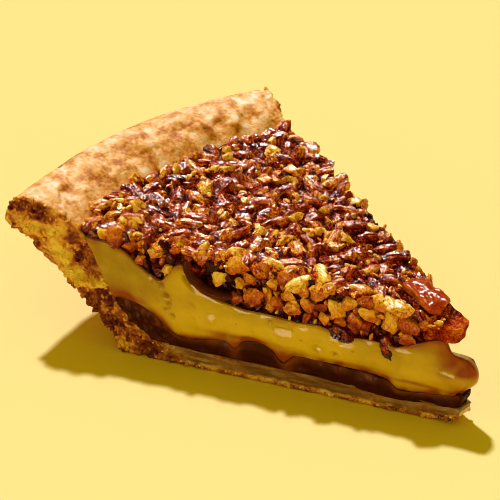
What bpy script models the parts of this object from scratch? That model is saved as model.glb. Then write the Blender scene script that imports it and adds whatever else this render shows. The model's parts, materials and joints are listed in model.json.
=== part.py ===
"""One slice of chocolate pecan pie, an eighth of a nine-inch pie.

The pastry crust is one bent strip: a flat base, a sloping wall and a thick folded rim.
On it lie a thin chocolate layer, a soft golden filling and a topping of chopped pecans.
The slice stands on its base at z = 0. Its tip points along +X and its rim along -X.
"""

import math
import random

import bmesh
import bpy
from mathutils import Matrix, Vector, noise

MM = 0.001

# The slice in plan. Radii are measured from the pie's middle, where the two cuts meet.
SLICE_ANGLE = math.radians(45.0)
PIE_MIDDLE_X = 64.3 * MM
FILL_RADIUS = 106.0 * MM
TIP_HALF_WIDTH = 1.4 * MM
TIP_BLUNT_REACH = 8.0 * MM

# Heights of the fillings above the base, and the gap kept between neighbours.
TOP_AT_TIP = 29.6 * MM
TOP_AT_RIM = 36.9 * MM
CHOCOLATE_TOP = 9.5 * MM
FILLING_TOP = 20.6 * MM
GAP = 0.32 * MM

# The crust's section in millimetres, as pairs of (radius, height): underside, then upper side.
CRUST_SECTION = (
    ((2.6, 2.7), (2.2, 5.4)),
    ((8.5, 0.7), (8.5, 5.0)),
    ((15.0, 0.0), (15.0, 4.9)),
    ((50.0, 0.0), (50.0, 5.0)),
    ((86.0, 0.0), (81.5, 5.3)),
    ((94.0, 1.0), (88.5, 7.6)),
    ((98.5, 6.8), (93.2, 12.0)),
    ((104.0, 12.8), (96.8, 17.6)),
    ((110.0, 20.0), (99.3, 24.0)),
    ((115.8, 26.6), (101.8, 30.0)),
    ((122.0, 30.9), (105.2, 34.6)),
    ((126.2, 32.8), (109.6, 38.4)),
    ((127.4, 35.4), (113.8, 40.6)),
    ((126.6, 38.2), (117.8, 41.6)),
    ((124.2, 40.6), (121.4, 41.7)),
)
CRUST_CELLS = (34, 3, 14)
RIM_WAVE = 1.3 * MM
RIM_SWAY = 0.9 * MM
RIM_CRIMPS = 7
CRUMB_ROUGHNESS = 0.7 * MM

CHOCOLATE_END_RADIUS = 95.0 * MM

# The fillings share these rows along the slice, closer together where the filling climbs the
# crust, and the same columns across it. Each has its own count of cells up its height.
LAYER_ROWS = [*(step * MM for step in range(10, 77, 5)), *(step * MM for step in range(78, 95, 3))]
LAYER_COLUMNS = 7
CHOCOLATE_STOREYS = 2
FILLING_STOREYS = 5
TOPPING_STOREYS = 3

# The chopped pecans: half sizes of a nugget and of a long shard, and the spacing of both.
NUGGET = (3.5 * MM, 2.7 * MM, 2.1 * MM)
SHARD = (5.8 * MM, 2.2 * MM, 1.7 * MM)
SHARD_SHARE = 0.22
ROW_STEP = 5.6 * MM
PIECE_STEP = 6.5 * MM
TOPPING_SINK = 1.3 * MM
PIECE_SEED = 41
SLIVER = 0.01 * MM

# The hollow under the topping, on the near cut: (radius, height) of its middle, half sizes
# along the cut, into the slice and up, its tilt, and how thick the chocolate is that lines it.
HOLLOW_PLACE = (67.5 * MM, 26.2 * MM)
HOLLOW_SIZE = (8.6 * MM, 6.0 * MM, 5.6 * MM)
HOLLOW_TILT = math.radians(32.0)
LINING_SHIFT = (1.4 * MM, -2.4 * MM, 2.3 * MM)

# Pecans sunk in the filling on the near cut, as (radius, height, tilt in degrees).
SUNKEN_PECANS = (
    (34.5 * MM, 18.6 * MM, -12.0),
    (22.4 * MM, 17.2 * MM, 64.0),
)
SUNKEN_SIZE = (3.5 * MM, 1.9 * MM, 2.0 * MM)

FINISHES = {
    "crust": ((0.62, 0.38, 0.17), 0.75),
    "chocolate": ((0.09, 0.035, 0.015), 0.30),
    "filling": ((0.72, 0.46, 0.06), 0.20),
    "pecan": ((0.30, 0.09, 0.025), 0.25),
}


def clear_scene():
    """Removes the startup objects."""
    for obj in list(bpy.data.objects):
        bpy.data.objects.remove(obj)


def finish(name):
    """A Principled material with the named colour and roughness."""
    colour, roughness = FINISHES[name]
    material = bpy.data.materials.new(name)
    material.use_nodes = True
    shader = material.node_tree.nodes["Principled BSDF"]
    shader.inputs["Base Color"].default_value = (*colour, 1.0)
    shader.inputs["Roughness"].default_value = roughness
    shader.inputs["Metallic"].default_value = 0.0
    return material


def blend(a, b, share):
    """The value that lies this share of the way from a to b."""
    return a + (b - a) * share


def ease(low, high, value):
    """0 below low, 1 above high, and a smooth step between them."""
    share = min(max((value - low) / (high - low), 0.0), 1.0)
    return share * share * (3.0 - 2.0 * share)


def bumps(point, size, seed=0.0):
    """Smooth noise from -1 to 1 whose lumps are about this size across."""
    return noise.noise(Vector(point) / size + Vector((seed, 1.7 * seed, -seed)))


def slice_point(radius, side, height):
    """A point of the slice. Side runs from -1 on the near cut to 1 on the far cut."""
    angle = side * SLICE_ANGLE / 2
    blunt = TIP_HALF_WIDTH * math.exp(-((radius / TIP_BLUNT_REACH) ** 2))
    return Vector((PIE_MIDDLE_X - radius * math.cos(angle), radius * math.sin(angle) + side * blunt, height))


def catmull_rom(points, place):
    """The point at this place, counted in points, on a smooth curve through them all."""
    last = len(points) - 1
    start = min(int(place), last - 1)
    share = place - start
    a, b, c, d = (Vector(points[min(max(start + k, 0), last)]) for k in (-1, 0, 1, 2))
    return 0.5 * (
        2 * b + (c - a) * share + (2 * a - 5 * b + 4 * c - d) * share**2 + (3 * b - a - 3 * c + d) * share**3
    )


def even_places(points, count):
    """Places along the curve that divide its length into count even steps."""
    fine = 40 * (len(points) - 1)
    places = [k * (len(points) - 1) / fine for k in range(fine + 1)]
    curve = [catmull_rom(points, place) for place in places]
    lengths = [0.0]
    for before, after in zip(curve, curve[1:]):
        lengths.append(lengths[-1] + (after - before).length)
    found, k = [], 0
    for step in range(count + 1):
        wanted = lengths[-1] * step / count
        while k < fine - 1 and lengths[k + 1] < wanted:
            k += 1
        span = lengths[k + 1] - lengths[k]
        found.append(blend(places[k], places[k + 1], (wanted - lengths[k]) / span))
    return found


UNDERSIDE = [Vector(pair[0]) * MM for pair in CRUST_SECTION]
UPPER_SIDE = [Vector(pair[1]) * MM for pair in CRUST_SECTION]
MIDDLE_LINE = [(a + b) / 2 for a, b in zip(UNDERSIDE, UPPER_SIDE)]
STRIP_PLACES = even_places(MIDDLE_LINE, CRUST_CELLS[0])
INNER_WALL = [catmull_rom(UPPER_SIDE, place) for place in STRIP_PLACES]


def wall_radius(height):
    """The radius of the crust's inner side at this height."""
    for low, high in zip(INNER_WALL, INNER_WALL[1:]):
        if high.x > CHOCOLATE_END_RADIUS / 2 and low.y <= height <= high.y:
            return blend(low.x, high.x, (height - low.y) / (high.y - low.y))
    return INNER_WALL[-1].x


def floor_height(radius):
    """The height of the crust's upper side at this radius."""
    for low, high in zip(INNER_WALL, INNER_WALL[1:]):
        if low.x <= radius <= high.x:
            return blend(low.y, high.y, (radius - low.x) / (high.x - low.x))
    return INNER_WALL[0].y


def chocolate_top(radius, side):
    """The wavy top of the chocolate, which climbs the crust's wall near the heel."""
    climb = 6.6 * MM * ease(80 * MM, 95 * MM, radius)
    wave = 0.9 * MM * bumps((radius, 0.03 * side, 0), 9 * MM, 3.0)
    return CHOCOLATE_TOP + climb + wave * (1 - ease(84 * MM, 94 * MM, radius))


def filling_top(radius, side):
    """The top of the golden filling, which rises towards the rim under a thinner topping."""
    rise = 9.6 * MM * ease(79 * MM, 92 * MM, radius)
    wave = 0.8 * MM * bumps((radius, 0.04 * side, 0), 11 * MM, 7.0)
    return FILLING_TOP + rise + wave


def topping_top(radius):
    """The nominal top of the slice, lower at the tip than at the rim."""
    return blend(TOP_AT_TIP, TOP_AT_RIM, min(radius / FILL_RADIUS, 1.0))


def divided_box(cells):
    """A unit box whose faces are divided into this many cells along X, Y and Z."""
    mesh = bmesh.new()
    bmesh.ops.create_cube(mesh, size=1.0, matrix=Matrix.Translation((0.5, 0.5, 0.5)))
    for axis, count in enumerate(cells):
        normal = Vector((axis == 0, axis == 1, axis == 2))
        for step in range(1, count):
            whole = mesh.verts[:] + mesh.edges[:] + mesh.faces[:]
            bmesh.ops.bisect_plane(mesh, geom=whole, plane_co=normal * step / count, plane_no=normal)
    return mesh


def make_object(name, mesh, material, collection):
    """A smooth-shaded object with its normals pointing out."""
    bmesh.ops.recalc_face_normals(mesh, faces=mesh.faces[:])
    data = bpy.data.meshes.new(name)
    mesh.to_mesh(data)
    mesh.free()
    obj = bpy.data.objects.new(name, data)
    data.materials.append(material)
    data.shade_smooth()
    data.set_sharp_from_angle(angle=math.radians(40))
    collection.objects.link(obj)
    return obj


def crust_point(along, across, swing, place):
    """A point of the bent pastry strip. Place counts the section's points along the strip."""
    side = 2 * swing - 1
    under, upper = catmull_rom(UNDERSIDE, place), catmull_rom(UPPER_SIDE, place)
    point = under.lerp(upper, across)
    outward = (under.lerp(upper, 1.0 if across > 0.5 else 0.0) - catmull_rom(MIDDLE_LINE, place)).normalized()
    rest = slice_point(point.x, side, point.y)
    rim = ease(0.72, 0.86, along)
    edge_of_wall = ease(0.53, 0.64, along)
    on_skin = across in (0.0, 1.0) or along == 1.0
    if on_skin:
        crimp = math.cos(RIM_CRIMPS * math.pi * swing) * ease(0.2, 0.9, swing)
        lumps = bumps(rest, 13 * MM, 2.0) + 0.5 * bumps(rest, 6 * MM, 5.0)
        swell = RIM_WAVE * rim * (0.7 * lumps + 0.45 * crimp)
        swell += RIM_SWAY * rim * math.sin(math.tau * (1.25 * swing - 0.56))
        if across == 1.0:
            swell *= ease(FILL_RADIUS, FILL_RADIUS + 6 * MM, point.x)
        if across == 0.0:
            swell += 0.8 * MM * edge_of_wall * bumps(rest, 7 * MM, 9.0)
        point = point + outward * swell
    point.y = max(point.y, 0.0)
    if abs(side) == 1.0:
        crag = CRUMB_ROUGHNESS * edge_of_wall * bumps(rest, 4.5 * MM, 12.0)
        crag += 0.3 * MM * bumps(rest, 6 * MM, 15.0)
        return slice_point(point.x, side, point.y) + Vector((0, side * crag, 0))
    return slice_point(point.x, side, point.y)


def make_crust(collection, material):
    """The pastry: base, wall and rim in one bent strip."""
    mesh = divided_box(CRUST_CELLS)
    for vertex in mesh.verts:
        along, swing, across = vertex.co.x, vertex.co.z, vertex.co.y
        step = min(int(round(along * CRUST_CELLS[0])), CRUST_CELLS[0])
        vertex.co = crust_point(round(along, 6), round(across, 6), swing, STRIP_PLACES[step])
    return make_object("crust", mesh, material, collection)


def fill_between(storeys, tip, end, low, high, bulge):
    """A layer from its tip to the crust: tip and end give radii, low and high the two heights."""
    rows = len(LAYER_ROWS) + 1
    mesh = divided_box((rows, LAYER_COLUMNS, storeys))
    for vertex in mesh.verts:
        row, side, share = round(vertex.co.x * rows), 2 * vertex.co.y - 1, vertex.co.z
        height = blend(CHOCOLATE_TOP, FILLING_TOP, share)
        for _ in range(6):
            if row in (0, rows):
                radius = end(height) if row else tip(height, side)
            else:
                radius = LAYER_ROWS[row - 1]
            height = blend(low(radius, side), high(radius, side), share)
        vertex.co = slice_point(radius, side, height)
        if abs(side) > 0.999:
            vertex.co.y += math.copysign(bulge(radius, height), side)
    return mesh


def gap_over(surface, radius):
    """The upright distance that keeps the gap clear over a sloping surface."""
    slope = (surface(radius + MM) - surface(radius - MM)) / (2 * MM)
    return GAP * math.hypot(1.0, slope)


def make_chocolate_layer(collection, material):
    """The thin chocolate on the base, running up to the heel of the crust."""

    def low(radius, side):
        return floor_height(radius) + gap_over(floor_height, radius)

    def high(radius, side):
        return max(chocolate_top(radius, side), low(radius, side) + 0.8 * MM)

    mesh = fill_between(
        CHOCOLATE_STOREYS,
        tip=lambda height, side: blend(1.5, 1.0, ease(6 * MM, 9 * MM, height)) * MM,
        end=lambda height: CHOCOLATE_END_RADIUS,
        low=low,
        high=high,
        bulge=lambda radius, height: 0.35 * MM * bumps((radius, height, 0), 6 * MM, 20.0),
    )
    return make_object("chocolate_layer", mesh, material, collection)


def filling_tip(height, side):
    """The rounded nose that the soft filling makes at the tip, with a notch above and below it."""
    nose = math.sin(math.pi * min(max((height - CHOCOLATE_TOP) / (FILLING_TOP - CHOCOLATE_TOP), 0.0), 1.0))
    notch = 4.6 * MM * ease(FILLING_TOP - 2.6 * MM, FILLING_TOP + 0.6 * MM, height)
    return 2.8 * MM - 3.4 * MM * nose + notch + 1.2 * MM * side * side


def make_filling(collection, material):
    """The soft golden filling."""

    def low(radius, side):
        return chocolate_top(radius, side) + 1.2 * gap_over(lambda r: chocolate_top(r, side), radius)

    def high(radius, side):
        return filling_top(radius, side)

    mesh = fill_between(
        FILLING_STOREYS,
        tip=filling_tip,
        end=lambda height: wall_radius(height) - 1.5 * GAP,
        low=low,
        high=high,
        bulge=lambda radius, height: 0.5 * MM * bumps((radius, height, 0), 10 * MM, 26.0),
    )
    return make_object("filling", mesh, material, collection)


def topping_floor(radius, side):
    """The underside of the topping, clear of the filling."""
    return filling_top(radius, side) + 1.1 * gap_over(lambda r: filling_top(r, side), radius)


def topping_end(height):
    """The radius where the topping meets the crust's inner side."""
    return wall_radius(min(height, TOP_AT_RIM)) - 1.6 * GAP


def topping_tip(height, side):
    """The topping's tip: a ledge of glaze below, and the nuts set back above it."""
    return blend(4.0, 7.0, ease(24 * MM, 29 * MM, height)) * MM + 1.0 * MM * side * side


def make_topping_core(collection, material):
    """The glaze and nuts under the pieces that show."""
    mesh = fill_between(
        TOPPING_STOREYS,
        tip=topping_tip,
        end=topping_end,
        low=topping_floor,
        high=lambda radius, side: topping_top(radius) - TOPPING_SINK,
        bulge=lambda radius, height: -0.5 * MM + 0.5 * MM * bumps((radius, height, 0), 6 * MM, 31.0),
    )
    return make_object("pecan_topping", mesh, material, collection)


def chopped_piece(rng, size):
    """One rough lump of pecan with few sides, round the origin."""
    mesh = bmesh.new()
    bmesh.ops.create_icosphere(mesh, subdivisions=1, radius=1.0)
    for vertex in mesh.verts:
        vertex.co *= rng.uniform(0.82, 1.14)
        vertex.co = Vector(vertex.co[k] * size[k] for k in range(3))
    return mesh


def top_places(rng):
    """Where pieces lie on the top: rows round the pie's middle, with each piece moved a little."""
    rows = round((FILL_RADIUS - 10 * MM) / ROW_STEP)
    for row in range(rows + 1):
        radius = 9.0 * MM + row * (FILL_RADIUS - 11.5 * MM) / rows
        count = max(int(radius * SLICE_ANGLE / PIECE_STEP), 1)
        for k in range(count):
            side = (2 * (k + rng.uniform(0.3, 0.7)) / count - 1) * 0.93
            yield radius + rng.uniform(-1, 1) * MM, side, topping_top(radius) - rng.uniform(0.4, 1.8) * MM


def cut_places(rng, side):
    """Where pieces show on a cut side, in two rows above the filling."""
    steps = int((FILL_RADIUS - 16 * MM) / PIECE_STEP)
    for row_share in (0.30, 0.78):
        for k in range(steps):
            radius = 11 * MM + (k + rng.uniform(0.2, 0.8)) * PIECE_STEP
            floor, top = topping_floor(radius, side), topping_top(radius)
            yield radius, side * 0.97, blend(floor, top, row_share) + rng.uniform(-0.6, 0.6) * MM


def clear_of_neighbours(mesh):
    """True if every point keeps off the filling below and the crust's wall outside."""
    for vertex in mesh.verts:
        x, y, height = vertex.co
        radius = math.hypot(PIE_MIDDLE_X - x, y)
        side = max(-1.0, min(1.0, 2 * math.atan2(y, PIE_MIDDLE_X - x) / SLICE_ANGLE))
        if height < topping_floor(radius, side) + 0.2 * MM or radius > topping_end(height) - 0.2 * MM:
            return False
        if in_hollow(vertex.co, 0.5 * MM):
            return False
    return True


def in_hollow(point, margin):
    """True if a point lies in the hollow on the near cut, or closer to it than margin."""
    away = hollow_turn().inverted() @ (point - slice_point(HOLLOW_PLACE[0], -1, HOLLOW_PLACE[1]))
    return sum((away[k] / (HOLLOW_SIZE[k] + margin)) ** 2 for k in range(3)) < 1.0


def scatter_pieces(collection):
    """The chopped pecans that show, each an object for the union below."""
    rng = random.Random(PIECE_SEED)
    places = [*top_places(rng), *cut_places(rng, -1), *cut_places(rng, 1)]
    for number, (radius, side, height) in enumerate(places):
        size = SHARD if rng.random() < SHARD_SHARE else NUGGET
        scale = rng.uniform(0.75, 1.15)
        mesh = chopped_piece(rng, [scale * length for length in size])
        turn = Matrix.Rotation(rng.uniform(0, math.tau), 4, "Z") @ Matrix.Rotation(rng.gauss(0, 0.35), 4, "X")
        mesh.transform(Matrix.Translation(slice_point(radius, side, height)) @ turn)
        inward = Matrix.Translation((0.9 * MM, 0, 0.2 * MM))
        for _ in range(5):
            if not clear_of_neighbours(mesh):
                mesh.transform(inward)
        if clear_of_neighbours(mesh):
            data = bpy.data.meshes.new(f"piece_{number}")
            mesh.to_mesh(data)
            collection.objects.link(bpy.data.objects.new(f"piece_{number}", data))
        mesh.free()


def apply_boolean(obj, operation, target, solver="EXACT"):
    """Joins or cuts obj with an object or a whole collection, and applies the result."""
    modifier = obj.modifiers.new("join", "BOOLEAN")
    modifier.operation = operation
    modifier.solver = solver
    if isinstance(target, bpy.types.Collection):
        modifier.operand_type = "COLLECTION"
        modifier.collection = target
    else:
        modifier.object = target
    graph = bpy.context.evaluated_depsgraph_get()
    joined = bpy.data.meshes.new_from_object(obj.evaluated_get(graph))
    obj.modifiers.clear()
    obj.data = joined


def islands(mesh):
    """The mesh's unconnected parts, each a list of faces."""
    left = set(mesh.faces)
    while left:
        start = left.pop()
        part, front = [start], [start]
        while front:
            for edge in front.pop().edges:
                for face in edge.link_faces:
                    if face in left:
                        left.remove(face)
                        part.append(face)
                        front.append(face)
        yield part


def keep_largest_island(obj):
    """Drops every part but the largest: loose pieces, and pockets closed in between pieces."""
    mesh = bmesh.new()
    mesh.from_mesh(obj.data)
    parts = sorted(islands(mesh), key=len)
    for part in parts[:-1]:
        bmesh.ops.delete(mesh, geom=part, context="FACES")
    loose = [vertex for vertex in mesh.verts if not vertex.link_faces]
    bmesh.ops.delete(mesh, geom=loose, context="VERTS")
    mesh.to_mesh(obj.data)
    mesh.free()


def drop_slivers(obj):
    """Splits the faces into triangles and closes the tiny edges that the joins leave."""
    mesh = bmesh.new()
    mesh.from_mesh(obj.data)
    bmesh.ops.dissolve_degenerate(mesh, edges=mesh.edges[:], dist=SLIVER)
    bmesh.ops.triangulate(mesh, faces=mesh.faces[:])
    mesh.to_mesh(obj.data)
    mesh.free()


def remove_collection(collection):
    """Removes a collection with the objects in it."""
    for obj in list(collection.objects):
        bpy.data.objects.remove(obj)
    bpy.data.collections.remove(collection)


def lump_cutter(name, place, size, turn, collection, roundness=2):
    """A rounded lump, as a helper that cuts its own room in the layers."""
    mesh = bmesh.new()
    bmesh.ops.create_icosphere(mesh, subdivisions=roundness, radius=1.0)
    mesh.transform(Matrix.Translation(place) @ turn @ Matrix.Diagonal((*size, 1.0)))
    data = bpy.data.meshes.new(name)
    mesh.to_mesh(data)
    mesh.free()
    obj = bpy.data.objects.new(name, data)
    obj.hide_render = True
    obj.display_type = "WIRE"
    collection.objects.link(obj)
    return obj


def along_cut(side):
    """The turn that lays X along a cut side, from the rim to the tip."""
    return Matrix.Rotation(-side * SLICE_ANGLE / 2, 4, "Z")


def hollow_turn():
    """The hollow's turn: along the near cut, lower towards the tip."""
    return along_cut(-1) @ Matrix.Rotation(HOLLOW_TILT, 4, "Y")


def grown(size, margin):
    """Half sizes made larger by a margin."""
    return [length + margin for length in size]


def show(obj, material):
    """Makes a lump a visible piece of the slice."""
    obj.hide_render = False
    obj.display_type = "TEXTURED"
    obj.data.materials.append(material)
    obj.data.shade_smooth()
    obj.data.set_sharp_from_angle(angle=math.radians(40))


def cut_hollow(layers, collection, cutters, material):
    """Opens the hollow on the near cut and lines its low side with melted chocolate."""
    middle = slice_point(HOLLOW_PLACE[0], -1, HOLLOW_PLACE[1])
    turn = hollow_turn()
    room = lump_cutter("hollow_room", middle, HOLLOW_SIZE, turn, cutters)
    for layer in layers:
        apply_boolean(layer, "DIFFERENCE", room)
    lining = lump_cutter("chocolate_smear", middle, grown(HOLLOW_SIZE, -GAP), turn, collection)
    shift = along_cut(-1) @ Vector(LINING_SHIFT)
    space = lump_cutter("hollow_space", middle + shift, grown(HOLLOW_SIZE, 0.3 * MM), turn, cutters)
    apply_boolean(lining, "DIFFERENCE", space)
    keep_largest_island(lining)
    show(lining, material)


def sink_pecans(layers, collection, cutters, material):
    """Sets dark pecan pieces into the near cut, each in room of its own."""
    for number, (radius, height, tilt) in enumerate(SUNKEN_PECANS, 1):
        place = slice_point(radius, -1, height) + Vector((0, 1.3 * MM, 0))
        turn = along_cut(-1) @ Matrix.Rotation(math.radians(tilt), 4, "Y")
        room = lump_cutter(f"room_{number}", place, grown(SUNKEN_SIZE, GAP), turn, cutters)
        for layer in layers:
            apply_boolean(layer, "DIFFERENCE", room)
        show(lump_cutter(f"sunken_pecan_{number}", place, SUNKEN_SIZE, turn, collection), material)


def main():
    """Builds the slice."""
    clear_scene()
    scene = bpy.context.scene.collection
    food = bpy.data.collections.new("chocolate_pecan_pie_slice")
    cutters = bpy.data.collections.new("cutters")
    pieces = bpy.data.collections.new("pieces")
    for collection in (food, cutters, pieces):
        scene.children.link(collection)
    materials = {name: finish(name) for name in FINISHES}
    make_crust(food, materials["crust"])
    make_chocolate_layer(food, materials["chocolate"])
    filling = make_filling(food, materials["filling"])
    topping = make_topping_core(food, materials["pecan"])
    scatter_pieces(pieces)
    apply_boolean(topping, "UNION", pieces, "MANIFOLD")
    keep_largest_island(topping)
    drop_slivers(topping)
    remove_collection(pieces)
    cut_hollow((filling, topping), food, cutters, materials["chocolate"])
    sink_pecans((filling, topping), food, cutters, materials["pecan"])
    remove_collection(cutters)


main()
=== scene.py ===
"""The looks of a slice of chocolate pecan pie, built round its solid model.

The pastry, the chocolate, the custard and the glaze are boxes of fine grids, bent to the slice.
Chopped pecans are modelled as a few chips and copied over the top and both cuts.
"""

import itertools
import json
import math

import bpy
import numpy as np
from bpy.props import FloatProperty, FloatVectorProperty, IntProperty, PointerProperty
from mathutils import Euler, Matrix, Vector

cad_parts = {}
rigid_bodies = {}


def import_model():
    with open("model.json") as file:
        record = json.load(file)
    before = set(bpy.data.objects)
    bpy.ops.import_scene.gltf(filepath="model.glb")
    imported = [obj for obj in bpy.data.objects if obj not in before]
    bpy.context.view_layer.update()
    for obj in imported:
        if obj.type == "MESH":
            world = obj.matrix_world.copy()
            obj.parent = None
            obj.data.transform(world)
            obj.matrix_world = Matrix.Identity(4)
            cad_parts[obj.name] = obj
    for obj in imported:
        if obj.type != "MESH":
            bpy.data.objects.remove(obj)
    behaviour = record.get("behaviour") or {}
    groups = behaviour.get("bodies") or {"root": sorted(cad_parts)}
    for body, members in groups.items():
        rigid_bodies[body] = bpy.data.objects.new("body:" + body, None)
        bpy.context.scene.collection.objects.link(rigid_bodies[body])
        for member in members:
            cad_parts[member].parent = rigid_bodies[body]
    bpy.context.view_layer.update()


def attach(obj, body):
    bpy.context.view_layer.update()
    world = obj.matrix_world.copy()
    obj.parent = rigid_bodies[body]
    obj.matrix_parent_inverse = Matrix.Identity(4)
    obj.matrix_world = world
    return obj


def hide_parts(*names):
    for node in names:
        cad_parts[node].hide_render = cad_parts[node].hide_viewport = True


bl_info = {
    "name": "Chocolate pecan pie slice",
    "version": (1, 0, 0),
    "blender": (4, 5, 0),
    "location": "3D View > Sidebar > Pie",
    "description": "Builds the pastry, fillings and chopped pecans of one slice of pie",
    "category": "Object",
}

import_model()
MM = 0.001

# The pastry's section in millimetres, as pairs of (radius, height): underside, then upper side.
CRUST_SECTION = (
    ((2.6, 2.7), (2.2, 5.4)), ((8.5, 0.7), (8.5, 5)), ((15, 0), (15, 4.9)), ((50, 0), (50, 5)),
    ((86, 0), (81.5, 5.3)), ((94, 1), (88.5, 7.6)), ((98.5, 6.8), (93.2, 12)),
    ((104, 12.8), (96.8, 17.6)), ((110, 20), (99.3, 24)), ((115.8, 26.6), (101.8, 30)),
    ((122, 30.9), (105.2, 34.6)), ((125, 32.2), (109.6, 38.2)), ((125.8, 34.6), (113.8, 40.3)),
    ((125.1, 37.6), (117.6, 41.3)), ((123.2, 40.2), (120.8, 41.3)),
)

# Cells of each layer along the slice, across it and through it.
CRUST_CELLS = (260, 130, 20)
CHOCOLATE_CELLS = (200, 50, 14)
CUSTARD_CELLS = (230, 64, 40)
GLAZE_CELLS = (220, 150, 20)
SMEAR_CELLS = (90, 16, 16)

# Where the custard's top lies on the near cut, as (radius, height) in millimetres.
NEAR_CUSTARD_TOP = (
    (0, 20), (2, 20.5), (4.6, 20.4), (5.8, 20.9), (7, 23.2), (9, 23.8), (12, 22.6), (16, 20.6),
    (20, 18.8), (27, 19.4), (34, 18.6), (40, 20.6), (46, 20), (52, 20.6), (60, 20.6), (66, 21.8),
    (70, 23), (72.5, 25), (74.6, 28.4), (76.4, 30.6), (78.6, 29.8), (80.6, 26.4), (82.6, 24), (86, 25.6),
    (89.4, 28), (93, 31), (98, 32.6), (104, 33),
)

# The chocolate's top on the near cut, with its lumps, as (radius, height) in millimetres.
NEAR_CHOCOLATE_TOP = (
    (0, 11.2), (1.6, 10.4), (4, 9), (8, 8), (12, 7.2), (16, 6.7), (19.4, 6.6), (21.4, 8.8), (26, 9.4),
    (33, 9.8), (44, 10.1), (47.2, 9.4), (48.6, 7), (50.2, 6.7), (51.6, 9.6), (54, 11.4), (58, 11.7),
    (60.8, 10.8), (62, 8), (63, 8), (64.4, 10.4), (68, 10.2), (72, 9), (76, 8.2), (79, 8.8), (81, 10.4),
    (84, 13.4), (88, 15.8), (92, 16.8), (96, 16.8),
)

# Large pieces seen on the top: x and y and length in millimetres, heading in degrees, tone, kind of chip.
TOP_PIECES = (
    (-20.4, 35, 9, -15, 0.95, "nugget"), (-11, 31.4, 7.5, -50, 0.3, "nugget"),
    (-0.4, -1.8, 11, 78, 0.3, "shard"), (-10.7, 12.1, 9, 72, 0.35, "shard"),
    (14, 13.4, 10, 65, 0.45, "shard"), (20, 12, 9, 55, 0.4, "shard"), (26.5, 10.5, 9, 60, 0.5, "shard"),
    (-27.7, -9.6, 10.5, -48, 0.2, "shard"), (-19.5, -28.5, 9, -30, 0.25, "shard"),
    (-24.9, -1.8, 8, -60, 0.6, "nugget"), (7.3, -5.7, 7, 40, 0.85, "nugget"),
    (24, -11.2, 9, -8, 0.9, "nugget"), (8.4, -15.7, 6.5, -20, 0.25, "shard"),
    (0.7, -16.8, 8, 62, 0.35, "shard"), (-31, 18, 8, 40, 0.35, "shard"),
    (-33.5, -22, 8, 70, 0.4, "shard"), (36.8, 0.6, 6.6, 20, 0.45, "nugget"),
    (47.2, 2.2, 19, -14, 1.05, "sheet"), (44.6, -6.6, 9.5, -12, 0.8, "nugget"),
    (34, -8.6, 7, 30, 0.6, "nugget"), (-37.5, -29.5, 7, 55, 0.65, "nugget"),
    (-14, 22, 7.5, 15, 0.45, "nugget"),
)

# Pieces seen on the near cut: radius, height and length in millimetres, heading in degrees, tone.
CUT_PIECES = (
    (62.2, 32.4, 7, -30, 0.95), (55.1, 33, 4.4, 20, 0.85), (52.3, 29.5, 4, 60, 0.9),
    (48.3, 26.9, 4.2, -40, 0.8), (44.6, 30, 4.8, 30, 1), (40.1, 29.8, 5.2, 70, 1.1),
    (46.9, 23.8, 4.6, 30, 1), (35.6, 26.2, 6.2, -75, 1), (39.2, 22.6, 3.6, 80, 1),
    (32.4, 28.6, 4.6, 75, 1), (28.1, 29.6, 5.2, 40, 0.55), (27.2, 26.6, 5.4, 5, 1),
    (21.5, 24.8, 7.2, 62, 1.1), (17.3, 25.4, 6.2, 80, 0.35), (17.1, 21.6, 4.4, 20, 0.55),
    (9.8, 28, 2.6, 0, 1.1), (66.8, 28, 5.6, 10, 1.25), (71.4, 33.6, 4.6, 30, 1), (84.2, 32, 5.2, 20, 1),
    (80.9, 28.1, 3.2, 0, 1.4), (88.4, 29.4, 3.2, 0, 0.75), (95.2, 34, 6.2, 0, 0.7),
    (57.7, 25.3, 6, 80, 0.55), (61.2, 27.6, 3.6, 80, 1), (51.2, 24.2, 4, 70, 0.6),
    (43, 25.6, 4.4, -20, 0.7), (30.8, 24, 4.2, 70, 0.65), (24.8, 29.4, 4.6, -20, 0.75),
    (13.2, 26.4, 4.4, 40, 0.55), (37.4, 31.6, 3.6, 0, 0.85), (49.4, 31.8, 4, -30, 0.75),
    (58.6, 29.8, 4.2, -10, 0.7),
)

# Stains and bare spots on the near cut of the pastry: radius, height, their two half sizes in
# millimetres, how much darker, and how far it stands out.
PASTRY_SPOTS = (
    (103, 26, 5.2, 5.4, 0.8, -1.8), (103.2, 19.4, 5.4, 1.1, -0.9, 1.2), (108.8, 24, 1.4, 4.4, -0.5, 0.7),
    (119, 38.8, 6.4, 2.8, 0.7, 0.4), (115.5, 36.2, 3.8, 1.8, 0.55, 0.1), (110.4, 37, 4, 1.8, 0.1, 0.2),
    (117, 32.8, 6.4, 2.4, -0.42, 0.2), (112.6, 27.4, 3.6, 4, -0.42, 0.3),
    (106.4, 31.8, 2.6, 2.4, 0.4, -0.3), (99, 15.8, 3.6, 3.8, 0.45, -0.4),
    (102.8, 12, 2.6, 5.4, 0.85, 0.5), (95, 10, 3.6, 3, 0.42, -0.2), (86.5, 2.6, 4.6, 2.4, 0.85, -0.6),
    (93.4, 2.6, 2, 3.2, -0.1, 0.3), (79, 1.2, 4, 1.6, 0.45, 0), (56, 4.4, 5.5, 0.8, 0.1, 0.2),
    (38, 2.9, 3.5, 0.4, 0.7, 0), (62, 4.6, 6, 0.6, 0.65, 0), (9.5, 1.9, 3.4, 0.7, 0.95, 0),
    (45, 4.8, 8, 0.5, 0.35, 0), (16, 0.9, 4, 0.6, 0.4, 0),
)

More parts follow.
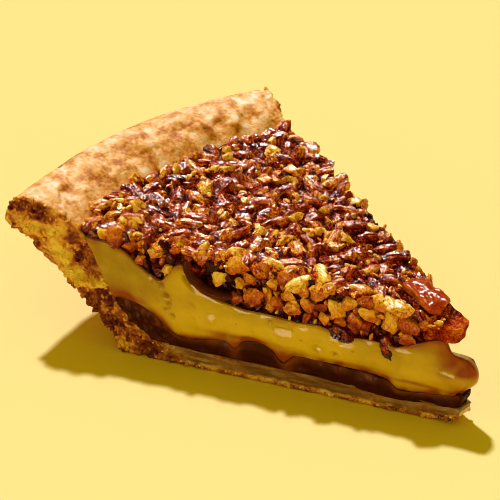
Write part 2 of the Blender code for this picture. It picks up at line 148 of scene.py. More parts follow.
# Bubbles on the near cut of the custard: (radius, height, size) in millimetres.
BUBBLES = (
    (68.9, 16.8, 1), (52.8, 19.2, 0.6), (40.1, 14, 1), (35.6, 13.3, 0.8), (33.3, 8.9, 0.7),
    (44.5, 15.4, 0.4), (62, 16.2, 0.4), (81, 20.4, 0.9), (80.4, 18.2, 0.8), (81.2, 16.4, 0.7),
    (79.4, 14.8, 0.7), (82.4, 23.2, 0.9), (79.8, 19.4, 0.5), (80.2, 16.9, 0.5), (88, 20.5, 0.4),
    (57.5, 15, 0.3), (31, 15.2, 0.4), (73.6, 15.2, 0.4), (73.6, 19, 0.5), (83.4, 18.6, 0.3),
)

# The middle of the rope of chocolate that lines the hollow, as (radius, height) in millimetres.
SMEAR_PATH = (
    (75.6, 32), (75.2, 29.8), (74.2, 27), (72, 24.8), (69, 23.5), (66, 23.2), (63, 23.6),
)

# Wet patches on the near cut of the custard: radius, height and the two half sizes in millimetres.
WET_PATCHES = (
    (48.9, 16.8, 3.4, 1.7), (68.8, 16.9, 2.3, 1.4), (59.6, 20.6, 4, 1), (35.4, 18.2, 2.4, 1.7),
    (32.4, 16.6, 2.6, 1), (53.8, 20.2, 2.2, 0.9), (39.8, 13.8, 1.3, 1), (18, 18.4, 2.4, 0.8),
    (6.5, 15, 3.4, 0.7), (44, 18.9, 2.8, 0.8), (85.6, 24.6, 1.2, 0.9), (26.6, 18.6, 1.6, 0.7),
)

# Brown stains in the custard: how strong, then radius and height, each with its width, in millimetres.
CUSTARD_STAINS = ((0.75, 60, 10, 12.2, 0.8), (0.75, 15, 8, 9.6, 0.55), (0.3, 30, 9, 11, 0.6))

# Dark pieces sunk in the custard: name, radius, height and length in millimetres, turn, tone, how wet,
# seed, and the solid that each one stands for.
SUNKEN_PIECES = (
    ("sunken_pecan_one", 34.3, 19.9, 8.4, (0.1, 0.2, -0.3), 0.05, 0.6, 634, "sunken_pecan_1"),
    ("sunken_pecan_two", 22.3, 17.8, 7.6, (0.2, 1.2, 0.3), 0.30, 0.4, 622, "sunken_pecan_2"),
)

# Kinds of chips: how fine the mesh is, length, width and height, first seed, how many, one in how many
# has its skin on (0 for none), and how deep its dents are.
CHIP_KINDS = {
    "shard": (4, (1.0, 0.42, 0.28), 100, 12, 1, 0.10),
    "nugget": (4, (1.0, 0.60, 0.38), 200, 18, 3, 0.10),
    "slab": (4, (1.0, 0.72, 0.50), 700, 12, 0, 0.04),
    "bit": (3, (1.0, 0.56, 0.40), 300, 18, 3, 0.10),
    "crumb": (2, (1.0, 0.60, 0.40), 400, 8, 0, 0.10),
    "sheet": (4, (1.0, 0.56, 0.20), 500, 1, 1, 0.00),
    "pastry": (2, (1.0, 0.75, 0.60), 800, 10, 0, 0.10),
}
SUNKEN_SHAPE = (1.0, 0.66, 0.5)

# The hollow under the nuts on the near cut: radius and height of its middle, each with a width, and
# then the oval that no nut fills, by its middle and its half sizes squared. All in millimetres.
HOLLOW = (67.5, 5.5, 26.0, 3.6)
BARE_OVAL = (68.5, 25.5, 40, 16)

# The two cuts as values of side, and how near to them a point counts as lying on a cut.
NEAR_CUT, FAR_CUT = -1.0, 1.0
CUT_EDGE = 0.999

# Cells of the pastry that the flat base takes up, and the share of its length that they cover.
BASE_CELLS, BASE_SHARE = 100, 0.48

# Shares of the pastry's length between which its wall, its rim and the rim's outer edge set in.
WALL_STARTS = (0.53, 0.64)
RIM_STARTS = (0.72, 0.86)
EDGE_STARTS = (0.86, 0.96)

# How many loose crumbs lie on the pastry's cuts.
LOOSE_CRUMBS = 900

# The lights: the sun, soft boxes (name, place and width in metres, power in watts), and the room.
SUN_HEADING = (0.470, -0.158, -1.0)
SUN_STRENGTH, SUN_WIDTH = 2.3, math.radians(3.5)
SUN_COLOUR = (0.97, 1.0, 0.98)
SOFTBOXES = (
    ("back_softbox", (-0.75, 0.9, 0.75), 0.32, 18.0),
    ("left_softbox", (-1.2, -0.1, 0.9), 0.28, 13.0),
    ("high_softbox", (-0.35, 0.8, 1.3), 0.24, 12.0),
    ("front_softbox", (0.1, -1.3, 0.24), 0.66, 9.0),
)
SOFTBOX_COLOUR = (1.0, 0.72, 0.60)
ROOM_COLOUR = (0.42, 0.35, 0.013)
ROOM_BRIGHT_SIDE = (0.45, -0.55, 0.70)

# The camera: turn, tilt and angle of view in degrees, distance in metres, and how far its aim lies to
# the right of the slice's middle and above it, in millimetres.
CAMERA_TURN, CAMERA_TILT, CAMERA_VIEW = 43.283, 30.292, 18.0
CAMERA_DISTANCE, CAMERA_RIGHT, CAMERA_UP = 0.4275, -7.65, 21.45
SENSOR_WIDTH = 36.0

# How far the table top lies below the slice, and how wide it is.
TABLE_GAP, TABLE_WIDTH = 0.15 * MM, 6.0


def length_property(name, description, millimetres):
    """A length that a maker would change."""
    return FloatProperty(name=name, description=description, default=millimetres * MM, unit="LENGTH")


class SliceSizes(bpy.types.PropertyGroup):
    """The sizes that a maker would change."""

    cut_angle: FloatProperty(
        name="Cut angle",
        description="Angle between the two cuts",
        default=math.radians(45.0),
        subtype="ANGLE",
        unit="ROTATION",
    )
    middle: length_property("Middle of the pie", "Where the two cuts meet, along X", 64.3)
    fill_radius: length_property("Filling radius", "From the middle to the pastry, at the filling's top", 106.0)
    top_at_tip: length_property("Height at the tip", "Top of the nuts at the tip", 29.8)
    top_at_rim: length_property("Height at the rim", "Top of the nuts where they meet the pastry", 37.2)
    custard_top: length_property("Custard height", "Top of the custard in the middle of the slice", 20.6)
    rim_wave: length_property("Rim wave", "How far the pastry rim swells in and out", 1.3)
    nugget: length_property("Nugget length", "Length of a usual chopped piece", 5.6)
    shard: length_property("Shard length", "Length of a large piece with its skin on", 10.0)
    crumb: length_property("Crumb length", "Length of a small chopped bit", 2.4)
    seed: IntProperty(name="Seed", description="Changes how the chopped pieces fall", default=12)


def colour_property(name, description, default):
    """A colour that a maker would change, in linear values."""
    return FloatVectorProperty(
        name=name, description=description, default=default, subtype="COLOR", size=3, min=0.0, max=1.0
    )


class SliceColours(bpy.types.PropertyGroup):
    """The colours that a maker would change."""

    pastry_pale: colour_property("Pale pastry", "Least baked pastry", (0.93, 0.73, 0.702))
    pastry_gold: colour_property("Golden pastry", "Well baked pastry", (0.80, 0.39, 0.11))
    pastry_crumb: colour_property("Pastry inside", "Layers laid bare by the cut", (0.92, 0.66, 0.15))
    pastry_brown: colour_property("Browned pastry", "Golden brown pastry", (0.50, 0.155, 0.010))
    pastry_toasted: colour_property("Toasted pastry", "Darkest pastry", (0.17, 0.022, 0.003))
    pastry_soaked: colour_property("Soaked pastry", "Moist layers of the base", (0.24, 0.115, 0.008))
    chocolate: colour_property("Chocolate", "Soft dark chocolate", (0.060, 0.0085, 0.001))
    chocolate_thin: colour_property("Thin chocolate", "Chocolate mixed with custard", (0.20, 0.055, 0.004))
    custard: colour_property("Custard", "Golden custard", (0.76, 0.525, 0.014))
    # The darker custard colour, used mostly as painted shade where the custard lies in shade.
    custard_shade: colour_property("Deep custard", "Darker custard, for its tone and its painted shade", (0.46, 0.29, 0.004))
    # Also the colour of the painted shade near the pastry's wall and in the bubbles.
    custard_blush: colour_property("Browned custard", "Custard stained by the glaze", (0.34, 0.07, 0.004))
    # Also the colour of the painted shade deep in the gaps between the pieces.
    pecan_dark: colour_property("Darkest pecan", "Burnt syrup and dark skins", (0.022, 0.0015, 0.0008))
    pecan_skin: colour_property("Pecan skin", "Red-brown skin", (0.15, 0.007, 0.0015))
    pecan_brown: colour_property("Brown pecan", "Pecan soaked in syrup", (0.39, 0.048, 0.004))
    pecan_amber: colour_property("Amber pecan", "Pecan under a thin syrup", (0.64, 0.185, 0.016))
    pecan_gold: colour_property("Golden pecan", "Cut pecan", (0.84, 0.43, 0.040))
    pecan_pale: colour_property("Pale pecan", "Freshly cut pecan", (0.92, 0.62, 0.16))
    floor: colour_property("Floor", "Pale yellow table top", (0.878, 0.722, 0.388))


def ease(low, high, value):
    """0 below low, 1 above high, and a smooth step between them."""
    share = np.clip((value - low) / (high - low), 0.0, 1.0)
    return share * share * (3.0 - 2.0 * share)


def blend(a, b, share):
    """The value that lies this share of the way from a to b."""
    return a + (b - a) * share


def hump(middle, width, value):
    """1 at the middle, falling to nothing about a width away on both sides."""
    return np.exp(-(((value - middle) / width) ** 2))


def lumps(points, size, seed):
    """Smooth noise from about -1 to 1 at each point. Size is the lumps' spacing, one or three numbers."""
    rng = np.random.default_rng(seed)
    order = rng.permutation(256)
    slopes = rng.normal(size=(256, 3))
    slopes /= np.linalg.norm(slopes, axis=1, keepdims=True)
    cells = np.asarray(points) / np.asarray(size) + 37.3
    corner = np.floor(cells).astype(np.int64)
    inside = cells - corner
    fade = inside**3 * (inside * (6.0 * inside - 15.0) + 10.0)
    total = np.zeros(len(cells))
    for step in itertools.product((0, 1), repeat=3):
        key = order[(corner[:, 0] + step[0]) & 255]
        key = order[(key + corner[:, 1] + step[1]) & 255]
        key = order[(key + corner[:, 2] + step[2]) & 255]
        weight = np.prod(np.where(step, fade, 1.0 - fade), axis=1)
        total += weight * (slopes[key] * (inside - step)).sum(axis=1)
    return 1.6 * total


def relief(points, *layers):
    """Layers of lumps added up. Each one is how strong it is, its spacing in millimetres and its seed."""
    return sum(strong * lumps(points, np.multiply(size, MM), seed) for strong, size, seed in layers)


def curve_through(points, places):
    """Points at these places, counted in points, on a smooth curve through them all."""
    points = np.asarray(points, float)
    last = len(points) - 1
    start = np.minimum(places.astype(int), last - 1)
    share = (places - start)[:, None]
    a, b, c, d = (points[np.clip(start + k, 0, last)] for k in (-1, 0, 1, 2))
    return 0.5 * (
        2 * b
        + (c - a) * share
        + (2 * a - 5 * b + 4 * c - d) * share**2
        + (3 * b - a - 3 * c + d) * share**3
    )


def pastry_lines(count=600):
    """The pastry's underside and upper side at even steps along its length, and that length."""
    under, upper = (np.array([pair[k] for pair in CRUST_SECTION]) * MM for k in (0, 1))
    fine = np.linspace(0, len(CRUST_SECTION) - 1, 3000)
    middle = curve_through((under + upper) / 2, fine)
    run = np.concatenate(([0.0], np.cumsum(np.linalg.norm(np.diff(middle, axis=0), axis=1))))
    places = np.interp(np.linspace(0, run[-1], count), run, fine)
    return curve_through(under, places), curve_through(upper, places), run[-1]


UNDERSIDE, UPPER_SIDE, PASTRY_LENGTH = pastry_lines()


def wall_radius(height):
    """The radius of the pastry's inner side at this height."""
    climb = UPPER_SIDE[UPPER_SIDE[:, 0] > 80 * MM]
    return np.interp(height, climb[:, 1], climb[:, 0])


def floor_height(radius):
    """The height of the pastry's upper side at this radius."""
    return np.interp(radius, UPPER_SIDE[:, 0], UPPER_SIDE[:, 1])


def sizes():
    """The sizes set in the panel."""
    return bpy.context.scene.slice_sizes


def colours():
    """The colours set in the panel."""
    return bpy.context.scene.slice_colours


def slice_places(radius, side, height):
    """Points of the slice. Side runs from -1 on the near cut to 1 on the far cut."""
    angle = side * sizes().cut_angle / 2
    blunt = 1.4 * MM * np.exp(-((radius / (8.0 * MM)) ** 2))
    x = sizes().middle - radius * np.cos(angle)
    y = radius * np.sin(angle) + side * blunt
    return np.stack(np.broadcast_arrays(x, y, height), axis=-1)


def cut_normal(side):
    """The direction in which a cut faces."""
    angle = sizes().cut_angle / 2
    x, y = np.full_like(side, math.sin(angle)), np.sign(side) * math.cos(angle)
    return np.stack((x, y, 0 * side), axis=-1)


def on_cut(side):
    """1 at the points that lie on a cut, and 0 elsewhere."""
    return (np.abs(side) > CUT_EDGE) * 1.0


def push_cuts(points, side, distance):
    """Moves the points that lie on a cut outwards by this many millimetres."""
    points += cut_normal(side) * (distance * MM * on_cut(side))[:, None]


def topping_top(radius):
    """The usual height of the nuts, lower at the tip than at the rim."""
    share = np.clip(radius / sizes().fill_radius, 0.0, 1.0)
    return blend(sizes().top_at_tip, sizes().top_at_rim, share)


def line_height(line, radius):
    """The height of a line given in millimetres as (radius, height), smoothed at its corners."""
    pairs = np.array(line) * MM
    shifts = (-0.8, -0.4, 0, 0.4, 0.8)
    return sum(np.interp(radius + shift * MM, pairs[:, 0], pairs[:, 1]) for shift in shifts) / len(shifts)


def near_share(side):
    """1 on the near cut, 0 from a little way into the slice."""
    return ease(-0.62, -0.98, side)


def chocolate_top(radius, side):
    """The wavy top of the chocolate, which climbs the pastry's wall at the heel."""
    climb = 6.6 * MM * ease(80 * MM, 95 * MM, radius)
    points = np.stack(np.broadcast_arrays(radius, 30 * MM * side, 0 * radius), axis=-1)
    wave = 0.9 * MM * lumps(points, 9 * MM, 3) * (1 - ease(84 * MM, 94 * MM, radius))
    usual = 9.5 * MM + climb + wave
    return blend(usual, line_height(NEAR_CHOCOLATE_TOP, radius), near_share(side))


def custard_top(radius, side):
    """The top of the custard, which rises towards the rim under a thinner topping."""
    rise = 9.6 * MM * ease(79 * MM, 92 * MM, radius)
    points = np.stack(np.broadcast_arrays(radius, 40 * MM * side, 0 * radius), axis=-1)
    usual = sizes().custard_top + rise + 0.8 * MM * lumps(points, 11 * MM, 7)
    under = 23.6 * MM - 3.0 * MM * ease(12 * MM, 18 * MM, radius)
    notch = notch_radius(side)
    nose = blend(nose_top(radius, side), under, ease(notch - 1.0 * MM, notch + 1.2 * MM, radius))
    usual = blend(nose, usual, ease(16 * MM, 21 * MM, radius))
    return blend(usual, line_height(NEAR_CUSTARD_TOP, radius), near_share(side))


def notch_radius(side):
    """How deep the straight gap between the custard's nose and the ledge of glaze runs in."""
    turn = (side + 1) * sizes().cut_angle / 2
    return 7.0 * MM / (np.cos(turn) - 0.38 * np.sin(turn))


def nose_top(radius, side):
    """The top of the custard's nose, which droops towards the far cut."""
    turn = (side + 1) * sizes().cut_angle / 2
    deep = radius * np.sin(turn) + 1.3 * MM * (side + 1) * hump(0.0, 8 * MM, radius)
    return 20.2 * MM - 0.58 * deep


def fresh_start():
    """Deselects everything, so that an operator acts on the new piece alone."""
    bpy.ops.object.select_all(action="DESELECT")


def select_only(*objs):
    """Selects these objects and makes the first one active."""
    fresh_start()
    for obj in objs:
        obj.select_set(True)
    bpy.context.view_layer.objects.active = objs[0]


def box_of_grids(name, cells):
    """A closed unit box whose six sides are grids with this many cells along X, Y and Z."""
    quarter = math.pi / 2
    turns = ((0.0, quarter, 0.0), (quarter, 0.0, 0.0), (0.0, 0.0, 0.0))
    counts = ((cells[2], cells[1]), (cells[0], cells[2]), (cells[0], cells[1]))
    sides = []
    for axis, end in itertools.product((0, 1, 2), (0.0, 1.0)):
        place = [0.5, 0.5, 0.5]
        place[axis] = end
        fresh_start()
        bpy.ops.mesh.primitive_grid_add(
            x_subdivisions=counts[axis][0],
            y_subdivisions=counts[axis][1],
            size=1.0,
            location=place,
            rotation=turns[axis],
        )
        sides.append(bpy.context.object)
    select_only(*sides)
    bpy.ops.object.transform_apply(location=True, rotation=True, scale=True)
    bpy.ops.object.join()
    obj = bpy.context.object
    obj.name = name
    obj.data.name = name
    bpy.ops.object.mode_set(mode="EDIT")
    bpy.ops.mesh.select_all(action="SELECT")
    bpy.ops.mesh.remove_doubles(threshold=0.0001)
    bpy.ops.mesh.normals_make_consistent(inside=False)
    bpy.ops.object.mode_set(mode="OBJECT")
    return obj


def get_points(obj):
    """The mesh's points as an array."""
    flat = np.empty(3 * len(obj.data.vertices), np.float32)
    obj.data.vertices.foreach_get("co", flat)
    return flat.reshape(-1, 3).astype(float)


def set_points(obj, points):
    """Moves the mesh's points."""
    obj.data.vertices.foreach_set("co", points.astype(np.float32).ravel())
    obj.data.update()


def paint(obj, **layers):
    """Stores a number at each point under each name, for the material to read."""
    every = np.ones(len(obj.data.vertices))
    for name, values in layers.items():
        layer = obj.data.attributes.new(name, "FLOAT", "POINT")
        layer.data.foreach_set("value", (every * np.clip(values, 0.0, 1.0)).astype(np.float32))


def paint_kernel(obj, places):
    """Stores where each point lies in its kernel, for the ribs of the nut's skin."""
    layer = obj.data.attributes.new("kernel", "FLOAT_VECTOR", "POINT")
    layer.data.foreach_set("vector", places.astype(np.float32).ravel())


def face_out(obj):
    """Turns the faces outwards and shades them smooth."""
    select_only(obj)
    bpy.ops.object.mode_set(mode="EDIT")
    bpy.ops.mesh.select_all(action="SELECT")
    bpy.ops.mesh.normals_make_consistent(inside=False)
    bpy.ops.object.mode_set(mode="OBJECT")
    bpy.ops.object.shade_smooth()


def dress(obj, material, slot, *nodes):
    """Gives a piece its material and the solids that it stands for; the slot is not used."""
    obj.data.materials.clear()
    obj.data.materials.append(material)
    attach(obj, "root")
    if nodes:
        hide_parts(*nodes)


def complete(obj, points, material, slot, node, **layers):
    """Moves a piece's points, paints them, shades the piece and dresses it."""
    set_points(obj, points)
    paint(obj, **layers)
    face_out(obj)
    dress(obj, material, slot, node)


class Finish:
    """A Principled material, with short ways to add the nodes that feed it. Sizes are in millimetres."""

    def __init__(self, name, **settings):
        self.material = bpy.data.materials.new(name)
        self.material.use_nodes = True
        self.tree = self.material.node_tree
        self.shader = self.tree.nodes["Principled BSDF"]
        self.place = self.tree.nodes.new("ShaderNodeTexCoord").outputs["Object"]
        self.wear(**settings)

    def put(self, socket, value):
        """Sets an input to a value, or joins it to another node's output."""
        if isinstance(value, bpy.types.NodeSocket):
            self.tree.links.new(value, socket)
        elif socket.type == "RGBA":
            socket.default_value = (*value, 1.0)
        else:
            socket.default_value = value

    def painted(self, name, output="Fac"):
        """What is stored at the points under this name."""
        node = self.tree.nodes.new("ShaderNodeAttribute")
        node.attribute_name = name
        return node.outputs[output]

    def noise(self, size, detail=2.0, stretch=None, roughness=0.5, place=None):
        """Noise whose lumps are about this size across."""
        node = self.tree.nodes.new("ShaderNodeTexNoise")
        place = place or self.place
        if stretch:
            mapping = self.tree.nodes.new("ShaderNodeMapping")
            mapping.inputs["Scale"].default_value = stretch
            self.put(mapping.inputs["Vector"], place)
            place = mapping.outputs["Vector"]
        self.put(node.inputs["Vector"], place)
        node.inputs["Scale"].default_value = 1.0 / (size * MM)
        node.inputs["Detail"].default_value = detail
        node.inputs["Roughness"].default_value = roughness
        return node.outputs["Fac"]

    def steps(self, value, low, high, start=0.0, end=1.0):
        """Smoothly turns low into start and high into end."""
        node = self.tree.nodes.new("ShaderNodeMapRange")
        node.interpolation_type = "SMOOTHSTEP"
        for label, number in (("From Min", low), ("From Max", high), ("To Min", start), ("To Max", end)):
            node.inputs[label].default_value = number
        self.put(node.inputs["Value"], value)
        return node.outputs["Result"]

    def maths(self, operation, a, b=0.0):
        """The result of one sum."""
        node = self.tree.nodes.new("ShaderNodeMath")
        node.operation = operation
        self.put(node.inputs[0], a)
        self.put(node.inputs[1], b)
        return node.outputs["Value"]

    def mottled(self, value, noise, low, high, most):
        """A value that wanders up and down with a noise, by most where that is past low or high."""
        return self.maths("ADD", value, self.steps(noise, low, high, -most, most))

    def mix(self, share, a, b):
        """A colour between a and b."""
        node = self.tree.nodes.new("ShaderNodeMix")
        node.data_type = "RGBA"
        self.put(node.inputs["Factor"], share)
        self.put(node.inputs[6], a)
        self.put(node.inputs[7], b)
        return node.outputs[2]

    def ramp(self, value, stops):
        """The colour at this place among (place, colour) stops."""
        node = self.tree.nodes.new("ShaderNodeValToRGB")
        elements = node.color_ramp.elements
        while len(elements) < len(stops):
            elements.new(0.5)
        for element, (place, colour) in zip(elements, stops):
            element.position = place
            element.color = (*colour, 1.0)
        self.put(node.inputs["Fac"], value)
        return node.outputs["Color"]

    def bump(self, height, distance, strength=1.0, under=None):
        """A bump from a height, over another one."""
        node = self.tree.nodes.new("ShaderNodeBump")
        self.put(node.inputs["Strength"], strength)
        node.inputs["Distance"].default_value = distance * MM
        self.put(node.inputs["Height"], height)
        if under:
            self.put(node.inputs["Normal"], under)
        return node.outputs["Normal"]

    def wear(self, **inputs):
        """Sets or joins the shader's inputs, and returns the material."""
        for label, value in inputs.items():
            label = label.replace("_", " ").title().replace("Ior", "IOR")
            self.put(self.shader.inputs[label], value)
        return self.material


def pastry_finish():
    """Baked pastry: pale, golden and toasted patches, moist layers and a dry, blistered skin."""
    tint = colours()
    finish = Finish("baked_pastry", roughness=0.6, specular_ior_level=0.25)
    shade = finish.mottled(finish.painted("toast"), finish.noise(4.5), 0.30, 0.70, 0.20)
    shade = finish.mottled(shade, finish.noise(1.2), 0.30, 0.70, 0.13)
    colour = finish.mix(finish.painted("inside"), tint.pastry_pale, tint.pastry_crumb)
    for low, high, over in (
        (-0.05, 0.55, tint.pastry_gold),
        (0.40, 0.80, tint.pastry_brown),
        (0.70, 1.10, tint.pastry_toasted),
    ):
        colour = finish.mix(finish.steps(shade, low, high), colour, over)
    colour = finish.mix(finish.painted("soak"), colour, tint.pastry_soaked)
    grain = finish.bump(finish.noise(0.7, detail=4.0), 0.25, 0.8)
    pores = finish.bump(finish.noise(2.2, detail=3.0), 0.6, 0.6, under=grain)
    return finish.wear(base_color=colour, normal=pores)


def chocolate_finish():
    """Soft dark chocolate, paler where custard has mixed in."""
    tint = colours()
    finish = Finish(
        "soft_chocolate",
        roughness=0.4,
        specular_ior_level=0.05,
        coat_weight=0.12,
        coat_roughness=0.1,
    )
    smears = finish.noise(4.0, detail=4.0, stretch=(0.6, 0.6, 1.8), roughness=0.6)
    share = finish.maths("MAXIMUM", finish.steps(smears, 0.52, 0.78, 0.0, 0.45), finish.painted("thin"))
    colour = finish.mix(share, tint.chocolate, tint.chocolate_thin)
    ripples = finish.bump(finish.noise(2.0, detail=3.0), 0.5, 0.7)
    return finish.wear(base_color=colour, normal=ripples, coat_normal=ripples)


def custard_finish():
    """Smooth golden custard: soft, a little see-through, with a moist gloss."""
    tint = colours()
    finish = Finish(
        "golden_custard",
        roughness=0.3,
        specular_ior_level=0.1,
        subsurface_weight=0.4,
        subsurface_radius=(3.0, 1.6, 0.3),
        subsurface_scale=1.0 * MM,
        coat_roughness=0.08,
    )
    clouds = finish.noise(10.0, detail=4.0, roughness=0.6)
    # Painted shade, mottled by clouds of real tone: the custard darkens towards the darker colour.
    dense = finish.mottled(finish.painted("dense"), clouds, 0.35, 0.70, 0.20)
    colour = finish.mix(dense, tint.custard, tint.custard_shade)
    # Brown stains, with painted shade near the wall and in the bubbles, and paler painted highlights on the wet
    # patches.
    colour = finish.mix(finish.painted("blush"), colour, tint.custard_blush)
    ripples = finish.bump(finish.noise(3.0, detail=3.0), 0.6, 0.4)
    waves = finish.bump(finish.noise(4.0), 0.9, 0.6)
    gloss = finish.ramp(finish.painted("wet"), ((0.0, (0.03,) * 3), (0.4, (0.40,) * 3), (1.0, (0.60,) * 3)))
    return finish.wear(base_color=colour, normal=ripples, coat_normal=waves, coat_weight=gloss)


def pecan_finish():
    """Chopped pecan and syrup, from nearly black through red-brown and amber to golden."""
    tint = colours()
    finish = Finish(
        "glazed_pecan",
        roughness=0.9,
        specular_ior_level=0.05,
        subsurface_weight=0.08,
        subsurface_radius=(1.4, 0.6, 0.15),
        subsurface_scale=1.0 * MM,
        coat_roughness=0.07,
        coat_ior=1.5,
    )
    grain = finish.painted("grain")
    kernel = finish.painted("kernel", "Vector")
    ribs = finish.noise(0.62, detail=3.0, stretch=(0.24, 1.0, 1.0), place=kernel)
    wander = finish.steps(ribs, 0.32, 0.68, -0.15, 0.15)
    wander = finish.mottled(wander, finish.noise(1.7, detail=3.0, roughness=0.6), 0.30, 0.70, 0.12)
    wander = finish.mottled(wander, finish.noise(0.45), 0.35, 0.65, 0.11)
    tone = finish.maths("ADD", finish.painted("tone"), finish.maths("MULTIPLY", wander, grain))
    # Painted shade lowers the tone of the gaps and of the pieces' lower parts towards the darkest colours.
    stops = (
        (0.05, tint.pecan_dark),
        (0.24, tint.pecan_skin),
        (0.44, tint.pecan_brown),
        (0.62, tint.pecan_amber),
        (0.80, tint.pecan_gold),
        (0.97, tint.pecan_pale),
    )
    wrinkles = finish.bump(ribs, 0.40, grain)
    film = finish.bump(finish.noise(1.0, detail=1.5), 0.42, grain, under=finish.bump(ribs, 0.08, grain))
    return finish.wear(
        base_color=finish.ramp(tone, stops),
        normal=wrinkles,
        coat_normal=film,
        coat_weight=finish.painted("gloss"),
    )


class PIE_OT_pastry(bpy.types.Operator):
    """Model the pastry: base, wall and rim in one bent strip, with flaky cuts"""

    bl_idname = "pie.pastry"
    bl_label = "Pastry"

    def execute(self, context):
        obj = box_of_grids("crust_pastry", CRUST_CELLS)
        unit = get_points(obj)
        along = np.interp(unit[:, 0], (0, BASE_CELLS / CRUST_CELLS[0], 1), (0, BASE_SHARE, 1))
        swing, across = unit[:, 1], unit[:, 2]
        side = 2 * swing - 1
        rim, wall = ease(*RIM_STARTS, along), ease(*WALL_STARTS, along)
        section, thickness, rise = self.bend(along, swing, across, rim, wall)
        points = slice_places(section[:, 0], side, section[:, 1])
        r, z = section[:, 0] / MM, section[:, 1] / MM

        flat = np.stack((along * PASTRY_LENGTH, across * thickness, side * 9 * MM), axis=1)
        layers = relief(flat, (1.0, (7, 0.75, 5), 40), (0.6, (3, 0.4, 5), 41))
        crumbs = relief(points, (1.0, 2.4, 42), (0.6, 1.1, 43))
        end = ease(0.80, 0.93, along)
        at_cut = on_cut(side)
        push = blend(0.30, 0.55, wall) * layers * (1 - 0.6 * end) + (0.15 + 0.75 * wall) * crumbs
        stain = np.zeros(len(points))
        wander = relief(points, (0.30, 3, 55), (0.30, 1.2, 56))
        speckle = 0.85 + 0.5 * lumps(points, 0.9 * MM, 59)
        for spot_r, spot_z, half_r, half_z, darker, out in PASTRY_SPOTS:
            away = np.hypot((r - spot_r) / half_r, (z - spot_z) / half_z)
            inside = (1 - ease(0.45, 1.25, away + wander)) * at_cut * (side < 0)
            stain += darker * inside * speckle
            push += out * inside
        push_cuts(points, side, push)

        browned = 0.20 + relief(points, (0.22, 12, 50), (0.32, 5.5, 51))
        browned += 0.06 * rim * np.clip(rise / MM, -1.5, 1.5) + 0.24 * ease(*EDGE_STARTS, along)
        browned -= 0.34 * hump(0.79, 0.06, along) * (0.6 + 0.9 * lumps(points, 5 * MM, 57))
        browned += rim * (0.20 * lumps(points, 2.4 * MM, 53) + 0.19)
        browned -= 0.9 * rim * np.maximum(lumps(points, 3.6 * MM, 94) - 0.15, 0)
        browned += 0.35 * hump(0.715, 0.035, along)
        browned -= 0.7 * rim * np.maximum(browned - 0.42, 0)
        browned += 0.45 * (across < 0.03)
        in_cut = 0.30 - 0.04 * wall + 0.20 * layers + 0.26 * crumbs + 0.22 * lumps(points, 4 * MM, 52)
        in_cut += 0.42 * ease(20.5, 17.5, z) * wall + 0.20 * end + stain
        in_cut += 0.40 * (1 - ease(0.06, 0.22, across)) * (1 - 0.5 * wall)
        toast = np.where(at_cut > 0, in_cut, browned)
        inside = at_cut * ease(0.55, 0.66, along)
        moist = (1 - wall) * ease(0.12, 0.42, across + 0.16 * lumps(points, 2.2 * MM, 58))
        moist *= 0.90 + relief(points, (0.45, (8, 8, 1.2), 54))
        soak = np.where(at_cut > 0, moist, (1 - wall) * (across > 0.5))
        soak *= blend(0.75, 1.0, ease(0.0, 0.06, along))
        material = pastry_finish()
        complete(obj, points, material, "crust", "crust", toast=toast, inside=inside, soak=soak)

        edge = (across < 0.25) * np.where(wall > 0, across > 0.05, 1.0)
        likely = at_cut * (edge + 0.45 * wall * (across > 0.05)) * blend(1.0, 0.45, ease(0.9, 1.0, side))
        self.crumble(material, points, side, toast, inside, likely, blend(1.5, 1.9, wall) * MM)
        return {"FINISHED"}

    def bend(self, along, swing, across, rim, wall):
        """The strip's points as (radius, height), its thickness and how far its top is raised."""
        side = 2 * swing - 1
        steps = np.linspace(0, 1, len(UNDERSIDE))
        under, upper = (
            np.stack([np.interp(along, steps, line[:, k]) for k in (0, 1)], axis=1)
            for line in (UNDERSIDE, UPPER_SIDE)
        )
        outward = upper - under
        thickness = np.linalg.norm(outward, axis=1)
        outward /= thickness[:, None]
        to_cut = (1 - np.abs(side)) * under[:, 0] * sizes().cut_angle / 2
        ragged = np.exp(-to_cut / (1.6 * MM)) * blend(0.3, 1.0, wall)
        top_place = slice_places(upper[:, 0], side, upper[:, 1])
        low_place = slice_places(under[:, 0], side, under[:, 1])

        wave = sizes().rim_wave * rim
        sway = 0.9 * MM * rim * np.sin(math.tau * (1.25 * swing - 0.56))
        folds = np.cos(math.tau * (8.5 * swing + 0.25 * lumps(top_place, 14 * MM, 21)))
        open_rim = ease(sizes().fill_radius, sizes().fill_radius + 6 * MM, upper[:, 0])
        rise = wave * relief(top_place, (0.9, 13, 2), (1.0, 6.5, 5)) + sway
        rise += 0.95 * MM * rim * folds * ease(0.15, 0.75, swing)
        rise += rim * MM * relief(top_place, (0.90, 3.4, 6), (0.30, 1.5, 7))
        rise += 1.1 * MM * rim * np.maximum(lumps(top_place, 4.6 * MM, 31) - 0.30, 0)
        rise *= open_rim * (1 - 0.5 * ease(0.94, 1.0, along))
        rise += 0.9 * MM * ragged * lumps(top_place, 1.7 * MM, 8) * rim
        drop = wave * relief(low_place, (0.7, 13, 2), (0.3, 6, 5)) + sway
        plain = wall * (1 - 0.85 * ease(*EDGE_STARTS, along))
        drop += plain * MM * relief(low_place, (0.8, 6, 9), (0.45, 2.6, 10))
        drop += plain * (0.25 + 0.9 * ragged) * MM * lumps(low_place, 1.3 * MM, 11)
        low_line = under - outward * drop[:, None]
        top_line = upper + outward * rise[:, None]
        section = blend(low_line, top_line, across[:, None])
        section[:, 1] = np.maximum(section[:, 1], 0.0)
        return section, thickness, rise

